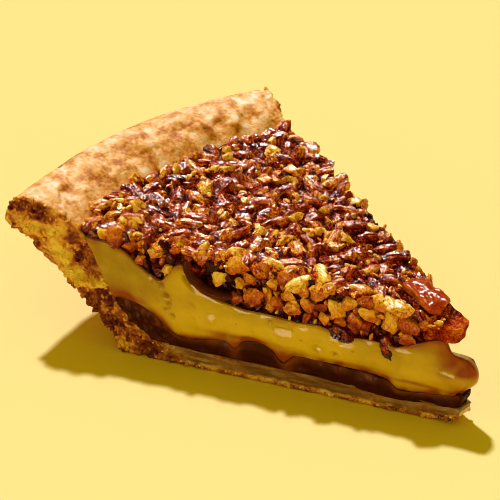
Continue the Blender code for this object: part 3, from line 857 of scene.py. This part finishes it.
    def crumble(self, material, points, side, toast, inside, likely, largest):
        """Loose crumbs on the cuts, each one a little lighter or darker than the pastry under it."""
        rng = np.random.default_rng(sizes().seed + 1)
        chips = chips_of("pastry")
        chosen = rng.choice(len(points), LOOSE_CRUMBS, replace=False, p=likely / likely.sum())
        placed = []
        for spot in chosen:
            size = largest[spot] * rng.uniform(0.35, 1.0) ** 1.3
            place = points[spot] + cut_normal(side[spot]) * rng.uniform(-0.15, 0.15) * size
            place[2] = max(place[2], 0.5 * size)
            which = rng.integers(len(chips))
            turn = Euler(rng.uniform(0, math.tau, 3)).to_matrix()
            placed.append((which, size, place, turn, 0.0, 0.0))
        obj = join_chips("crust_crumbs", chips, placed)
        counts = [len(chips[which][0]) for which, *_ in placed]
        shade = toast[chosen] - 0.12 + rng.uniform(-0.30, 0.30, len(chosen))
        paint(obj, toast=np.repeat(shade, counts), inside=np.repeat(inside[chosen], counts), soak=0.0)
        dress(obj, material, "crust", "crust")


def bent_layer(name, cells, tip, end, low, high):
    """A layer between two heights, from its tip to the pastry, with what says where its points are."""
    obj = box_of_grids(name, cells)
    unit = get_points(obj)
    along, side, share = unit[:, 0], 2 * unit[:, 1] - 1, unit[:, 2]
    height = blend(10 * MM, 20 * MM, share)
    for _ in range(5):
        radius = blend(tip(height, side), end(height), along)
        height = blend(low(radius, side), high(radius, side), share)
    return obj, slice_places(radius, side, height), radius, side, height, share, along


def chocolate_tip(height, side):
    """The blunt end of the chocolate at the tip."""
    return (blend(2.6, 1.7, ease(6 * MM, 9 * MM, height)) + 1.2 * side**4) * MM


def chocolate_underside(radius, side):
    """The underside of the chocolate, which sinks into the base near the tip of the near cut."""
    return floor_height(radius) + (0.1 - 1.3 * hump(20 * MM, 10 * MM, radius) * near_share(side)) * MM


class PIE_OT_chocolate(bpy.types.Operator):
    """Model the soft chocolate on the base, and the smear that lines the hollow"""

    bl_idname = "pie.chocolate"
    bl_label = "Chocolate"

    def execute(self, context):
        material = chocolate_finish()
        obj, points, radius, side, _, share, along = bent_layer(
            "chocolate_soft",
            CHOCOLATE_CELLS,
            chocolate_tip,
            lambda height: np.full_like(height, 95.3 * MM),
            chocolate_underside,
            lambda radius, side: np.maximum(chocolate_top(radius, side), floor_height(radius) + 0.9 * MM),
        )
        r = radius / MM
        heel = ease(76, 82, r)
        push = relief(points, (0.40, 6, 60), (0.30, 2.4, 61)) + 0.4 * hump(20, 11, r)
        push += 0.2 * np.sin(math.pi * share) - 0.1
        push += heel * relief(points, (0.55, 1.5, 68), (0.35, 0.8, 69))
        push_cuts(points, side, push)
        points[:, 0] += 0.4 * MM * lumps(points, 3 * MM, 62) * (along < 0.001)
        mixed = hump(48, 2.0, r) + 0.7 * hump(62.5, 1.6, r)
        mixed += 0.9 * ease(0.45, 1.0, share) * (0.8 + lumps(points, 5 * MM, 63)) * (1 - 0.75 * heel)
        mixed += 0.9 * heel * np.clip(relief(points, (1.0, 2.0, 67), (1.0, 0.9, 89)) + 0.1, 0, 1)
        complete(obj, points, material, "chocolate", "chocolate_layer", thin=mixed * on_cut(side))
        self.smear(material)
        return {"FINISHED"}

    def smear(self, material):
        """The rope of melted chocolate that lines the low side of the hollow."""
        obj = box_of_grids("chocolate_smear_soft", SMEAR_CELLS)
        unit = get_points(obj)
        last = len(SMEAR_PATH) - 1
        back, middle, ahead = (
            curve_through(SMEAR_PATH, np.clip(unit[:, 0] + step, 0, 1) * last) * MM
            for step in (-0.01, 0.0, 0.01)
        )
        heading = (ahead - back) / np.linalg.norm(ahead - back, axis=1)[:, None]
        u, v = 2 * unit[:, 1] - 1, 2 * unit[:, 2] - 1
        deep, wide = u * np.sqrt(1 - v**2 / 2), v * np.sqrt(1 - u**2 / 2)
        thick = 0.35 + 0.9 * np.sin(math.pi * unit[:, 0]) ** 0.5
        thick *= 1 + 0.25 * lumps(unit * (1, 0, 0), 0.22, 66)
        radius = middle[:, 0] - heading[:, 1] * wide * thick * MM
        height = middle[:, 1] + heading[:, 0] * wide * thick * MM
        side = np.full_like(radius, NEAR_CUT)
        points = slice_places(radius, side, height)
        push_cuts(points, side, 1.5 * deep * thick - 0.7)
        points += 0.12 * MM * lumps(points, 1.6 * MM, 64)[:, None]
        thin = 0.30 + 0.5 * lumps(points, 3 * MM, 65) + 0.35 * np.abs(wide)
        complete(obj, points, material, "chocolate", "chocolate_smear", thin=thin)


def custard_tip(height, side):
    """The rounded nose of the custard at the tip."""
    share = np.clip((height - 10.4 * MM) / (nose_top(3 * MM, side) - 10.2 * MM), 0.0, 1.0)
    return (2.4 - 3.2 * np.sin(math.pi * share**1.15) ** 0.55 + 1.4 * side**4) * MM


class PIE_OT_custard(bpy.types.Operator):
    """Model the golden custard, with bubbles on its near cut"""

    bl_idname = "pie.custard"
    bl_label = "Custard"

    def execute(self, context):
        obj, points, radius, side, height, share, _ = bent_layer(
            "custard_soft",
            CUSTARD_CELLS,
            custard_tip,
            lambda height: wall_radius(height) - 0.1 * MM,
            lambda radius, side: chocolate_top(radius, side) + 0.08 * MM,
            custard_top,
        )
        r, z = radius / MM, height / MM
        near = on_cut(side) * (side < 0)
        swell = relief(points, (0.45, 10, 70), (0.18, 4, 71)) + 0.5 * np.sin(math.pi * share)
        swell += 0.5 * ease(0.80, 1.0, share) * (0.5 + 0.5 * lumps(points, 5 * MM, 72))
        bubble_painted_shade = np.zeros(len(points))
        for hole_r, hole_z, size in BUBBLES:
            away = np.hypot(r - hole_r, z - hole_z) / size
            swell -= 0.7 * size * np.exp(-(away**2) * 1.6) * near
            swell += 0.16 * size * np.exp(-((away - 1.5) ** 2) * 4) * near
            # Painted shade inside each bubble, darkest at its middle.
            bubble_painted_shade += 0.6 * np.exp(-(away**2) * 1.8)
        wet = 0.4 - 0.3 * ease(13, 8, r) * ease(17.4, 18.6, z)
        wander = relief(points, (0.45, 1.8, 76), (0.30, 0.8, 77))
        for patch_r, patch_z, half_r, half_z in WET_PATCHES:
            away = np.hypot((r - patch_r) / half_r, (z - patch_z) / half_z)
            inside = (1 - ease(0.60, 1.05, away + wander)) * near
            swell = blend(swell, 0.40 * (patch_z - z) + 0.35, inside)
            wet = np.maximum(wet, inside)
        band = self.beside_smear(r, z) * near
        swell = blend(swell, 0.40 * (23.0 - z) + 0.2, band)
        wet = np.maximum(wet, band)
        push_cuts(points, side, swell)

        over = z - chocolate_top(radius, side) / MM
        patchy = lumps(points, 4 * MM, 73)
        # Brown where the custard meets the chocolate, and painted shade in the bubbles.
        stain = 1.1 * hump(0.0, blend(1.4, 2.6, ease(76, 86, r)), over) * (0.8 + patchy) + bubble_painted_shade * near
        for strong, stain_r, wide, stain_z, high in CUSTARD_STAINS:
            stain += strong * hump(stain_r, wide, r) * hump(stain_z, high, z)
        stain += 0.95 * (hump(49.4, 2.4, r) + hump(62.5, 1.8, r)) * ease(12.8, 9.8, z)
        nose = ease(11.0, 4.0, r + 2.0 * lumps(points, 4 * MM, 74))
        nose *= ease(14.2, 16.8, z + 0.8 * patchy + 0.2 * r)
        stain += 0.85 * nose * (0.8 + 0.5 * lumps(points, 2.5 * MM, 78))
        stain += 0.32 * ease(15, 2, r) * (1 + patchy) + 0.60 * hump(13, 6, r) * ease(18.0, 22.5, z)
        # Painted shade near the pastry's wall, strongest low down.
        stain += 0.45 * ease(86, 97, r) * (1 - ease(17, 23, z)) + 0.25 * ease(97, 103, r)
        # Browned under the glaze at the top; the wet patches are painted paler, a painted highlight besides
        # their real gloss.
        stain += 0.6 * ease(0.88, 1.0, share) * (0.6 + patchy) - 0.6 * ease(0.5, 1.0, wet)
        # Painted shade: the custard is darker towards its top, near the pastry's wall and towards the tip;
        # clouds vary its tone at random.
        dense = 0.05 + 0.45 * ease(16, 21, z) + 0.35 * ease(76, 86, r) + 0.35 * ease(36, 24, r)
        dense += relief(points, (0.3, (9, 9, 4), 75))
        complete(obj, points, custard_finish(), "filling", "filling", wet=wet, blush=stain, dense=dense)
        return {"FINISHED"}

    def beside_smear(self, r, z):
        """1 in a wet band along the outer side of the chocolate smear, and 0 elsewhere."""
        line = curve_through(SMEAR_PATH, np.linspace(0, len(SMEAR_PATH) - 1, 80))
        away = np.full(len(r), 99.0)
        for line_r, line_z in line:
            away = np.minimum(away, np.hypot(r - line_r, z - line_z))
        below = ease(27.8, 26.6, z) * ease(63.5, 65.0, r)
        return ease(0.5, 0.8, away) * ease(2.3, 1.9, away) * below


def topping_tip(height, side):
    """The rounded end of the topping, a ledge of glaze."""
    lean = blend(0.8, 0.0, ease(24.5 * MM, 27.5 * MM, height)) + 0.5 * ease(29 * MM, 32 * MM, height)
    return (3.9 + lean + 0.3 * side + 1.7 * side**4) * MM


def glaze_underside(radius, side):
    """The underside of the glaze: a ledge at the tip, and the custard's top further in."""
    notch = notch_radius(side)
    ledge = blend(23.6 * MM, 0.0, ease(notch + 0.6 * MM, notch + 2.4 * MM, radius))
    return np.maximum(custard_top(radius, side) + 0.05 * MM, ledge)


class HeightMap:
    """How high the pieces on the top stand, in square cells, smoothed."""

    cell = 0.4 * MM
    corner = -80 * MM
    count = 400

    def __init__(self, points, blur):
        places = ((points[:, :2] - self.corner) / self.cell).astype(int)
        grid = np.full((self.count, self.count), -1.0)
        np.maximum.at(grid, (places[:, 0], places[:, 1]), points[:, 2])
        edges = self.corner + (np.arange(self.count) + 0.5) * self.cell
        x, y = np.meshgrid(edges, edges, indexing="ij")
        usual = topping_top(np.hypot(sizes().middle - x, y)) - 2.6 * MM
        grid = np.maximum(grid, usual)
        for _ in range(blur):
            for axis in (0, 1):
                grid = (np.roll(grid, 1, axis) + 2 * grid + np.roll(grid, -1, axis)) / 4
        self.grid = grid

    def at(self, x, y):
        """The smoothed height at these places."""
        across = (x - self.corner) / self.cell - 0.5
        along = (y - self.corner) / self.cell - 0.5
        i, j = np.floor(across).astype(int), np.floor(along).astype(int)
        u, v = across - i, along - j
        low = blend(self.grid[i, j], self.grid[i + 1, j], u)
        high = blend(self.grid[i, j + 1], self.grid[i + 1, j + 1], u)
        return blend(low, high, v)


class PIE_OT_glaze(bpy.types.Operator):
    """Model the syrup that holds the nuts, as a film that climbs over them"""

    bl_idname = "pie.glaze"
    bl_label = "Glaze"

    def execute(self, context):
        pieces = [obj for obj in context.scene.objects if obj.name.startswith("top_")]
        if not pieces:
            raise RuntimeError("the pecans come before the glaze")
        nuts = np.concatenate([get_points(obj) for obj in pieces])
        film, usual = HeightMap(nuts, 4), HeightMap(nuts, 30)
        obj, points, radius, side, height, share, _ = bent_layer(
            "nut_glaze",
            GLAZE_CELLS,
            topping_tip,
            lambda height: wall_radius(np.minimum(height, 36.5 * MM)) - 0.1 * MM,
            glaze_underside,
            lambda radius, side: topping_top(radius) - 2.2 * MM,
        )
        r, z = radius / MM, height / MM
        at_cut = on_cut(side)
        ledge = 1 - ease(6, 13, r)
        gel = np.where(at_cut > 0, 1 - ease(9, 17, r + 2 * lumps(points, 4 * MM, 98)), ledge)
        rough = relief(points, (0.25, 4, 87), (0.40, 1.5, 97))
        hollow_r, wide, hollow_z, high = HOLLOW
        hollow = hump(hollow_r, wide, r) * hump(hollow_z, high, z) * (side < 0)
        dip = (2.2 + relief(points, (0.9, 4.5, 80), (0.5, 2.0, 81))) * (1 - gel) + 2.6 * hollow
        dip -= (0.5 * np.sin(math.pi * share) + rough) * gel
        push_cuts(points, side, -dip)

        surface = film.at(points[:, 0], points[:, 1])
        depth = (usual.at(points[:, 0], points[:, 1]) - surface) / MM
        level = 0.95 * (surface - points[:, 2]) / MM - 0.14
        level += relief(points, (0.5, 5.0, 82), (0.35, 2.2, 83), (0.25, 1.1, 84))
        level = blend(level, 0.9 * lumps(points, 5 * MM, 85) + rough - 0.6, ledge)
        points[:, 2] += level * MM * ease(0.75, 1.0, share)
        upper = ease(0.90, 1.0, share)
        # The glaze darkens deep between the pieces, partly for its thicker syrup and partly as painted shade,
        # and it darkens in the hollow as painted shade.
        tone = 0.20 + upper * (0.24 + 0.20 * lumps(points, 2.8 * MM, 86) - 0.30 * ease(-0.5, 0.6, depth))
        tone += upper * (0.16 * ease(-0.60, -0.95, side) - 0.05 * ease(0.2, 0.9, side)) - 0.10 * hollow
        tone += at_cut * (1 - upper) * (0.12 + 0.16 * lumps(points, 2.6 * MM, 89)) * (1 - hollow)
        amber = 0.50 + 0.14 * lumps(points, 1.8 * MM, 88) - 0.16 * hump(9, 2.5, r)
        looks = {
            "tone": blend(tone, amber, gel),
            "gloss": (0.55 - 0.50 * upper * ease(-0.5, 0.3, depth)) * (1 - gel),
            "grain": 1.0 - 0.45 * gel,
        }
        paint_kernel(obj, points * (4.2, 1.0, 1.0))
        complete(obj, points, bpy.data.materials["glazed_pecan"], "pecan", "pecan_topping", **looks)
        return {"FINISHED"}


def chip(detail, shape, seed, skinned, dent):
    """One chopped piece about a unit long: its points, its triangles and where skin is left on it.

    Knife cuts all round bound a ball's points. The ridged outside of a kernel bounds them too, above.
    """
    fresh_start()
    bpy.ops.mesh.primitive_ico_sphere_add(subdivisions=detail, radius=1.0)
    obj = bpy.context.object
    outward = get_points(obj)
    outward /= np.linalg.norm(outward, axis=1, keepdims=True)
    triangles = np.empty(3 * len(obj.data.polygons), np.int32)
    obj.data.polygons.foreach_get("vertices", triangles)
    mesh = obj.data
    bpy.data.objects.remove(obj)
    bpy.data.meshes.remove(mesh)
    rng = np.random.default_rng(seed)
    half = np.array(shape) / 2
    ball = 1.0 / np.linalg.norm(outward / (half * rng.uniform(0.95, 1.15, 3)), axis=1)
    ridges = lumps(outward * ball[:, None] + seed, (1.1, 0.13, 0.13), seed)
    kernel = ball * (1.0 + 0.20 * ridges) if skinned else ball * 1.25
    breaks = ((1, 0, 0), (-1, 0, 0), (0, 1, 0.2), (0, -1, 0.2), (0, 0, -1), (0.5, 0.5, -0.5))
    uncut = 9.0
    knife = np.full(len(outward), uncut)
    for k in range(len(breaks) if skinned else 7):
        facing = rng.normal(size=3)
        if skinned:
            facing = breaks[k] + 0.38 * facing
        facing /= np.linalg.norm(facing)
        reach = np.linalg.norm(facing * half) * rng.uniform(0.55, 0.95)
        slant = outward @ facing
        knife = np.minimum(knife, np.where(slant > 0.05, reach / np.maximum(slant, 0.05), uncut))
    skin = 1.0 / (1.0 + np.exp(-(knife - kernel) / 0.02)) * skinned
    crisp = 90
    distance = -np.log(np.exp(-kernel * crisp) + np.exp(-knife * crisp)) / crisp
    points = outward * distance[:, None]
    rough = 0.045 * lumps(points + seed, 0.30, seed + 1) + 0.035 * lumps(points + seed, 0.13, seed + 2)
    rough -= dent * np.maximum(lumps(points + seed, 0.45, seed + 3), 0)
    points += outward * (rough * blend(1.0, 0.5, skin))[:, None]
    return points, triangles.reshape(-1, 3), skin


def chips_of(kind):
    """All the chips of one kind."""
    detail, shape, seed, count, skins, dent = CHIP_KINDS[kind]
    return [chip(detail, shape, seed + k, skins > 0 and k % skins == 0, dent) for k in range(count)]


def join_chips(name, chips, placed, knife=None, grain=1.0, gloss=1.0):
    """One mesh of many chips, with what lies past the knife's (place, facing) pressed flat.

    Placed holds (chip, size, place, turn, tone, wet) for each.
    """
    points, triangles, tone, kernel = [], [], [], []
    start = 0
    for which, size, place, turn, own, wet in placed:
        shape, faces, skin = chips[which]
        moved = (shape * size) @ np.array(turn).T + place
        if knife is not None:
            past = (moved - knife[0]) @ knife[1] - 0.5 * MM * lumps(moved, 1.8 * MM, 92)
            moved = moved - np.maximum(past, 0)[:, None] * 0.85 * knife[1]
        points.append(moved)
        kernel.append(shape * size + 9.0 * place)
        triangles.append(faces + start)
        start += len(shape)
        # Painted shade: the lower part of each piece is darker.
        low = 1 - ease(-0.30, 0.20, (moved[:, 2] - place[2]) / size)
        flesh, bark = 0.46 + 0.50 * own, 0.22 + 0.28 * own
        syrup = np.clip(wet + relief(moved, (0.30, 2.6, 90), (0.22, 1.2, 91)), 0, 1)
        shade = blend(flesh, bark, skin) - 0.38 * syrup * blend(1.0, 0.2, skin) - 0.20 * low
        tone.append(np.maximum(shade, 0.10))
    points, triangles = np.concatenate(points), np.concatenate(triangles)
    mesh = bpy.data.meshes.new(name)
    mesh.vertices.add(len(points))
    mesh.loops.add(3 * len(triangles))
    mesh.polygons.add(len(triangles))
    mesh.vertices.foreach_set("co", points.astype(np.float32).ravel())
    mesh.loops.foreach_set("vertex_index", triangles.astype(np.int32).ravel())
    mesh.polygons.foreach_set("loop_start", np.arange(0, 3 * len(triangles), 3, dtype=np.int32))
    mesh.update(calc_edges=True)
    mesh.validate()
    obj = bpy.data.objects.new(name, mesh)
    bpy.context.scene.collection.objects.link(obj)
    paint(obj, tone=np.concatenate(tone), gloss=gloss, grain=grain)
    paint_kernel(obj, np.concatenate(kernel))
    mesh.shade_smooth()
    mesh.set_sharp_from_angle(angle=math.radians(40))
    return obj


def spread(rng, count, gap, taken, low, high, edge):
    """Places on the top, as (radius, side), that keep their distance from those taken already."""
    found = []
    for _ in range(count * 14):
        if len(found) >= count:
            break
        radius = math.sqrt(rng.uniform(low**2, high**2))
        side = rng.uniform(-edge, edge)
        spot = slice_places(radius, side, 0.0)[:2]
        others = np.array(taken)
        if np.all(((others[:, :2] - spot) ** 2).sum(axis=1) > (gap + others[:, 2]) ** 2):
            taken.append((spot[0], spot[1], gap))
            found.append((radius, side))
    return found


def has_room(radius, height, gap, taken, side):
    """Whether a piece fits here on a cut: off the pastry, clear of other pieces and of the hollow."""
    if radius > wall_radius(height) - gap:
        return False
    others = np.array(taken)
    if np.any(np.hypot(others[:, 0] - radius, others[:, 1] - height) < gap + others[:, 2]):
        return False
    oval_r, oval_z, wide, high = BARE_OVAL
    bare = (radius / MM - oval_r) ** 2 / wide + (height / MM - oval_z) ** 2 / high < 1
    return not (side < 0 and bare)


class PIE_OT_pecans(bpy.types.Operator):
    """Chop pecans and lay them over the top and both cuts"""

    bl_idname = "pie.pecans"
    bl_label = "Pecans"

    def execute(self, context):
        rng = np.random.default_rng(sizes().seed)
        material = pecan_finish()
        kinds = ("shard", "nugget", "slab", "bit", "crumb")
        shards, nuggets, slabs, bits, crumbs = (chips_of(kind) for kind in kinds)
        taken = self.lay_largest(rng, material, shards, nuggets)
        self.lay_top(rng, material, taken, shards, nuggets, bits, crumbs)
        self.lay_cut(rng, material, slabs, bits, crumbs, NEAR_CUT)
        self.sink(material)
        self.lay_cut(rng, material, slabs, bits, crumbs, FAR_CUT)
        return {"FINISHED"}

    def lay_largest(self, rng, material, shards, nuggets):
        """The large pieces whose places are known, and how much room each one takes."""
        chips = shards + nuggets + chips_of("sheet")
        nugget, sheet = len(shards), len(shards + nuggets)
        spans = {"shard": (0, nugget), "nugget": (nugget, sheet), "sheet": (sheet, sheet + 1)}
        placed, taken, sheets = [], [], []
        for x, y, length, heading, own, kind in TOP_PIECES:
            is_sheet = kind == "sheet"
            radius = math.hypot(sizes().middle - x * MM, y * MM)
            sunk = 1.2 if is_sheet else 1.4
            place = np.array((x * MM, y * MM, topping_top(radius) - sunk * MM))
            turn = Euler((rng.normal(0, 0.15), rng.normal(0, 0.10), math.radians(heading))).to_matrix()
            wet = 1.1 if is_sheet else rng.uniform(-0.1, 0.25)
            which = rng.integers(*spans[kind])
            (sheets if is_sheet else placed).append((which, length * MM, place, turn, own, wet))
            taken.append((x * MM, y * MM, (0.30 if kind == "shard" else 0.36) * length * MM))
        dress(join_chips("top_largest", chips, placed), material, "pecan", "pecan_topping")
        obj = join_chips("top_sheet", chips, sheets, grain=0.35, gloss=0.6)
        dress(obj, material, "pecan", "pecan_topping")
        return taken

    def lay_top(self, rng, material, taken, shards, nuggets, bits, crumbs):
        """Large pieces first, then smaller ones in the room between them."""
        end = sizes().fill_radius - 1.2 * MM
        for name, chips, length, count, gap, small, large, tilt, start in (
            ("top_shards", shards, sizes().shard, 80, 1.9, 0.70, 1.05, 0.25, 17),
            ("top_nuggets", nuggets, sizes().nugget * 1.15, 130, 1.9, 0.85, 1.30, 0.5, 15),
            ("top_bits", bits, sizes().nugget * 0.74, 540, 0.86, 0.70, 1.25, 0.6, 11),
            ("top_crumbs", crumbs, sizes().crumb, 300, 0.45, 0.6, 1.2, 1.0, 9),
        ):
            placed = []
            edge, most = (0.985, 0.6) if chips is crumbs else (0.955, 0.9)
            for radius, side in spread(rng, count, gap * MM, taken, start * MM, end, edge):
                size = length * rng.uniform(small, large)
                above = rng.uniform(-1.0, 0.9)
                sunk = 1.7 + 1.6 * ease(24 * MM, 10 * MM, radius)
                place = slice_places(radius, side, topping_top(radius) + (above - sunk) * MM)
                tilts = rng.normal(0, tilt), rng.normal(0, tilt)
                turn = Euler((*tilts, rng.uniform(0, math.tau))).to_matrix()
                # Pieces that sit lower are painted darker, as painted shade between the pieces; tone also
                # varies at random and across the top.
                own = 0.12 + 0.18 * above + rng.uniform() * most + relief(place[None], (0.22, 8, 93))[0]
                own += 0.25 * ease(-0.55, -0.90, side) - 0.06 * ease(0.2, 0.9, side)
                which = rng.integers(len(chips))
                placed.append((which, size, place, turn, own, rng.uniform(-0.3, 0.6)))
            dress(join_chips(name, chips, placed), material, "pecan", "pecan_topping")

    def lay_cut(self, rng, material, slabs, bits, crumbs, side):
        """Pieces that the knife has laid bare, over the dark syrup of a cut."""
        outward = cut_normal(side)
        taken = [(0.0, 0.0, 0.0)]
        if side < 0:
            label, nuggets, start, known = "near", slabs, 14, self.lay_known(rng, taken, outward)
        else:
            label, nuggets, start, known = "far", bits, 20, []
        for name, chips, length, tries, gap in (
            ("cut_nuggets", nuggets, sizes().nugget * 0.74, 2500, 1.45 * MM),
            ("cut_bits", bits, sizes().nugget * 0.56, 3000, 1.00 * MM),
            ("cut_crumbs", crumbs, sizes().crumb * 0.8, 4000, 0.55 * MM),
        ):
            placed, known = known, []
            for _ in range(tries):
                radius = rng.uniform(start * MM, 106 * MM)
                low = custard_top(np.array([radius]), np.array([side]))[0] + gap * 0.7
                high = topping_top(radius) - 1.2 * MM
                height = rng.uniform(low, max(high, low))
                if height > high or not has_room(radius, height, gap, taken, side):
                    continue
                taken.append((radius, height, gap))
                size = length * rng.uniform(0.75, 1.2)
                deep = 0.26 * size + rng.uniform(-0.4, 1.2) * MM
                place = slice_places(radius, side, height) - outward * deep
                turn = Euler(rng.uniform(0, math.tau, 3)).to_matrix()
                climb = (height - low) / (high - low + 0.1 * MM)
                wet = 0.50 * climb**2 + rng.uniform(-0.2, 0.9)
                own = rng.uniform(0.70, 1.00) if rng.uniform() < 0.46 else rng.uniform(-0.50, 0.20)
                placed.append((rng.integers(len(chips)), size, place, turn, own, wet))
            plane = (slice_places(0.05, side, 0.0), outward)
            obj = join_chips(f"{name}_{label}", chips, placed, plane, grain=0.45, gloss=0.5)
            dress(obj, material, "pecan", "pecan_topping")

    def lay_known(self, rng, taken, outward):
        """The pieces of the near cut whose places are known."""
        right, up = np.array((-outward[1], outward[0], 0.0)), np.array((0.0, 0.0, 1.0))
        placed = []
        for radius, height, length, heading, own in CUT_PIECES:
            turn = math.radians(heading)
            long = right * math.cos(turn) + up * math.sin(turn)
            wide = up * math.cos(turn) - right * math.sin(turn)
            deep = rng.uniform(0.08, 0.16) * length * MM
            place = slice_places(radius * MM, NEAR_CUT, height * MM) - outward * deep
            axes = np.stack((long, wide, outward), axis=1)
            which = rng.integers(CHIP_KINDS["slab"][3])
            placed.append((which, length * MM, place, axes, own - 0.08, rng.uniform(-0.1, 0.55)))
            taken.append((radius * MM, height * MM, 0.30 * length * MM))
        return placed

    def sink(self, material):
        """The dark pieces in the custard of the near cut."""
        for name, radius, height, length, turn, own, wet, seed, node in SUNKEN_PIECES:
            place = slice_places(radius * MM, NEAR_CUT, height * MM) - cut_normal(NEAR_CUT) * 0.9 * MM
            placed = [(0, length * MM, place, Euler(turn).to_matrix(), own, wet)]
            obj = join_chips(name, [chip(4, SUNKEN_SHAPE, seed, True, 0.10)], placed)
            dress(obj, material, "pecan", node)


class PIE_OT_stage(bpy.types.Operator):
    """Set the floor, the lights and the camera"""

    bl_idname = "pie.stage"
    bl_label = "Stage"

    def execute(self, context):
        scene = context.scene
        fresh_start()
        bpy.ops.mesh.primitive_plane_add(size=TABLE_WIDTH, location=(0.0, 0.0, -TABLE_GAP))
        floor = context.object
        floor.name = "table_top"
        bpy.ops.object.transform_apply(location=True, rotation=True, scale=True)
        finish = Finish("pale_floor", roughness=1.0, specular_ior_level=0.0)
        floor.data.materials.append(finish.wear(base_color=colours().floor))

        sun = self.light("key_light", "SUN", (0.0, 0.0, 0.0), SUN_HEADING, SUN_STRENGTH, SUN_COLOUR)
        sun.data.angle = SUN_WIDTH
        for name, place, size, energy in SOFTBOXES:
            softbox = self.light(name, "AREA", place, -Vector(place), energy, SOFTBOX_COLOUR)
            softbox.data.size = size
            softbox.visible_diffuse = False
        self.light_room(scene)
        self.set_camera(scene)
        return {"FINISHED"}

    def light(self, name, kind, place, heading, energy, colour):
        """A light at this place that shines this way."""
        bpy.ops.object.light_add(type=kind, location=place)
        light = bpy.context.object
        light.name = name
        light.rotation_mode = "QUATERNION"
        light.rotation_quaternion = Vector(heading).to_track_quat("-Z", "Y")
        light.data.energy = energy
        light.data.color = colour
        return light

    def light_room(self, scene):
        """A soft light from all round, brightest on one side."""
        world = bpy.data.worlds.new("soft_room")
        scene.world = world
        world.use_nodes = True
        world.cycles_visibility.glossy = False
        nodes, links = world.node_tree.nodes, world.node_tree.links
        nodes["Background"].inputs["Color"].default_value = (*ROOM_COLOUR, 1.0)
        toward = nodes.new("ShaderNodeVectorMath")
        toward.operation = "DOT_PRODUCT"
        toward.inputs[1].default_value = Vector(ROOM_BRIGHT_SIDE).normalized()
        fade = nodes.new("ShaderNodeMapRange")
        fade.interpolation_type = "SMOOTHSTEP"
        for label, number in (("From Min", -0.6), ("From Max", 0.9), ("To Min", 0.25), ("To Max", 1.12)):
            fade.inputs[label].default_value = number
        links.new(nodes.new("ShaderNodeTexCoord").outputs["Generated"], toward.inputs[0])
        links.new(toward.outputs["Value"], fade.inputs["Value"])
        links.new(fade.outputs["Result"], nodes["Background"].inputs["Strength"])

    def set_camera(self, scene):
        """The camera that took the photograph, and how its picture is toned."""
        bpy.ops.object.camera_add()
        camera = bpy.context.object
        turn, tilt = math.radians(CAMERA_TURN), math.radians(CAMERA_TILT)
        ahead = math.cos(tilt)
        forward = Vector((-math.sin(turn) * ahead, math.cos(turn) * ahead, -math.sin(tilt)))
        right = Vector((math.cos(turn), math.sin(turn), 0.0))
        up = right.cross(forward)
        place = right * CAMERA_RIGHT * MM + up * CAMERA_UP * MM - forward * CAMERA_DISTANCE
        turned = Matrix((right, up, -forward)).transposed().to_4x4()
        camera.matrix_world = Matrix.Translation(place) @ turned
        camera.data.sensor_width = SENSOR_WIDTH
        camera.data.lens = SENSOR_WIDTH / 2 / math.tan(math.radians(CAMERA_VIEW / 2))
        camera.data.clip_start = 0.01
        scene.camera = camera
        scene.view_settings.view_transform = "Standard"
        scene.view_settings.look = "Medium High Contrast"
        scene.cycles.filter_width = 1.0


class PIE_PT_panel(bpy.types.Panel):
    """The slice's pieces, sizes and colours"""

    bl_idname = "PIE_PT_panel"
    bl_label = "Pie slice"
    bl_space_type = "VIEW_3D"
    bl_region_type = "UI"
    bl_category = "Pie"

    def draw(self, context):
        for maker in MAKERS:
            self.layout.operator(maker.bl_idname)
        for group in (context.scene.slice_sizes, context.scene.slice_colours):
            for name in group.bl_rna.properties.keys():
                if name not in ("rna_type", "name"):
                    self.layout.prop(group, name)


MAKERS = (PIE_OT_stage, PIE_OT_pastry, PIE_OT_chocolate, PIE_OT_custard, PIE_OT_pecans, PIE_OT_glaze)
CLASSES = (SliceSizes, SliceColours, *MAKERS, PIE_PT_panel)


def register():
    """Adds the classes and the slice's settings to Blender."""
    for one in CLASSES:
        bpy.utils.register_class(one)
    bpy.types.Scene.slice_sizes = PointerProperty(type=SliceSizes)
    bpy.types.Scene.slice_colours = PointerProperty(type=SliceColours)


def unregister():
    """Takes them out again."""
    del bpy.types.Scene.slice_colours
    del bpy.types.Scene.slice_sizes
    for one in reversed(CLASSES):
        bpy.utils.unregister_class(one)


def main():
    """Builds every piece."""
    register()
    bpy.ops.pie.stage()
    bpy.ops.pie.pastry()
    bpy.ops.pie.chocolate()
    bpy.ops.pie.custard()
    bpy.ops.pie.pecans()
    bpy.ops.pie.glaze()


if __name__ == "__main__":
    main()
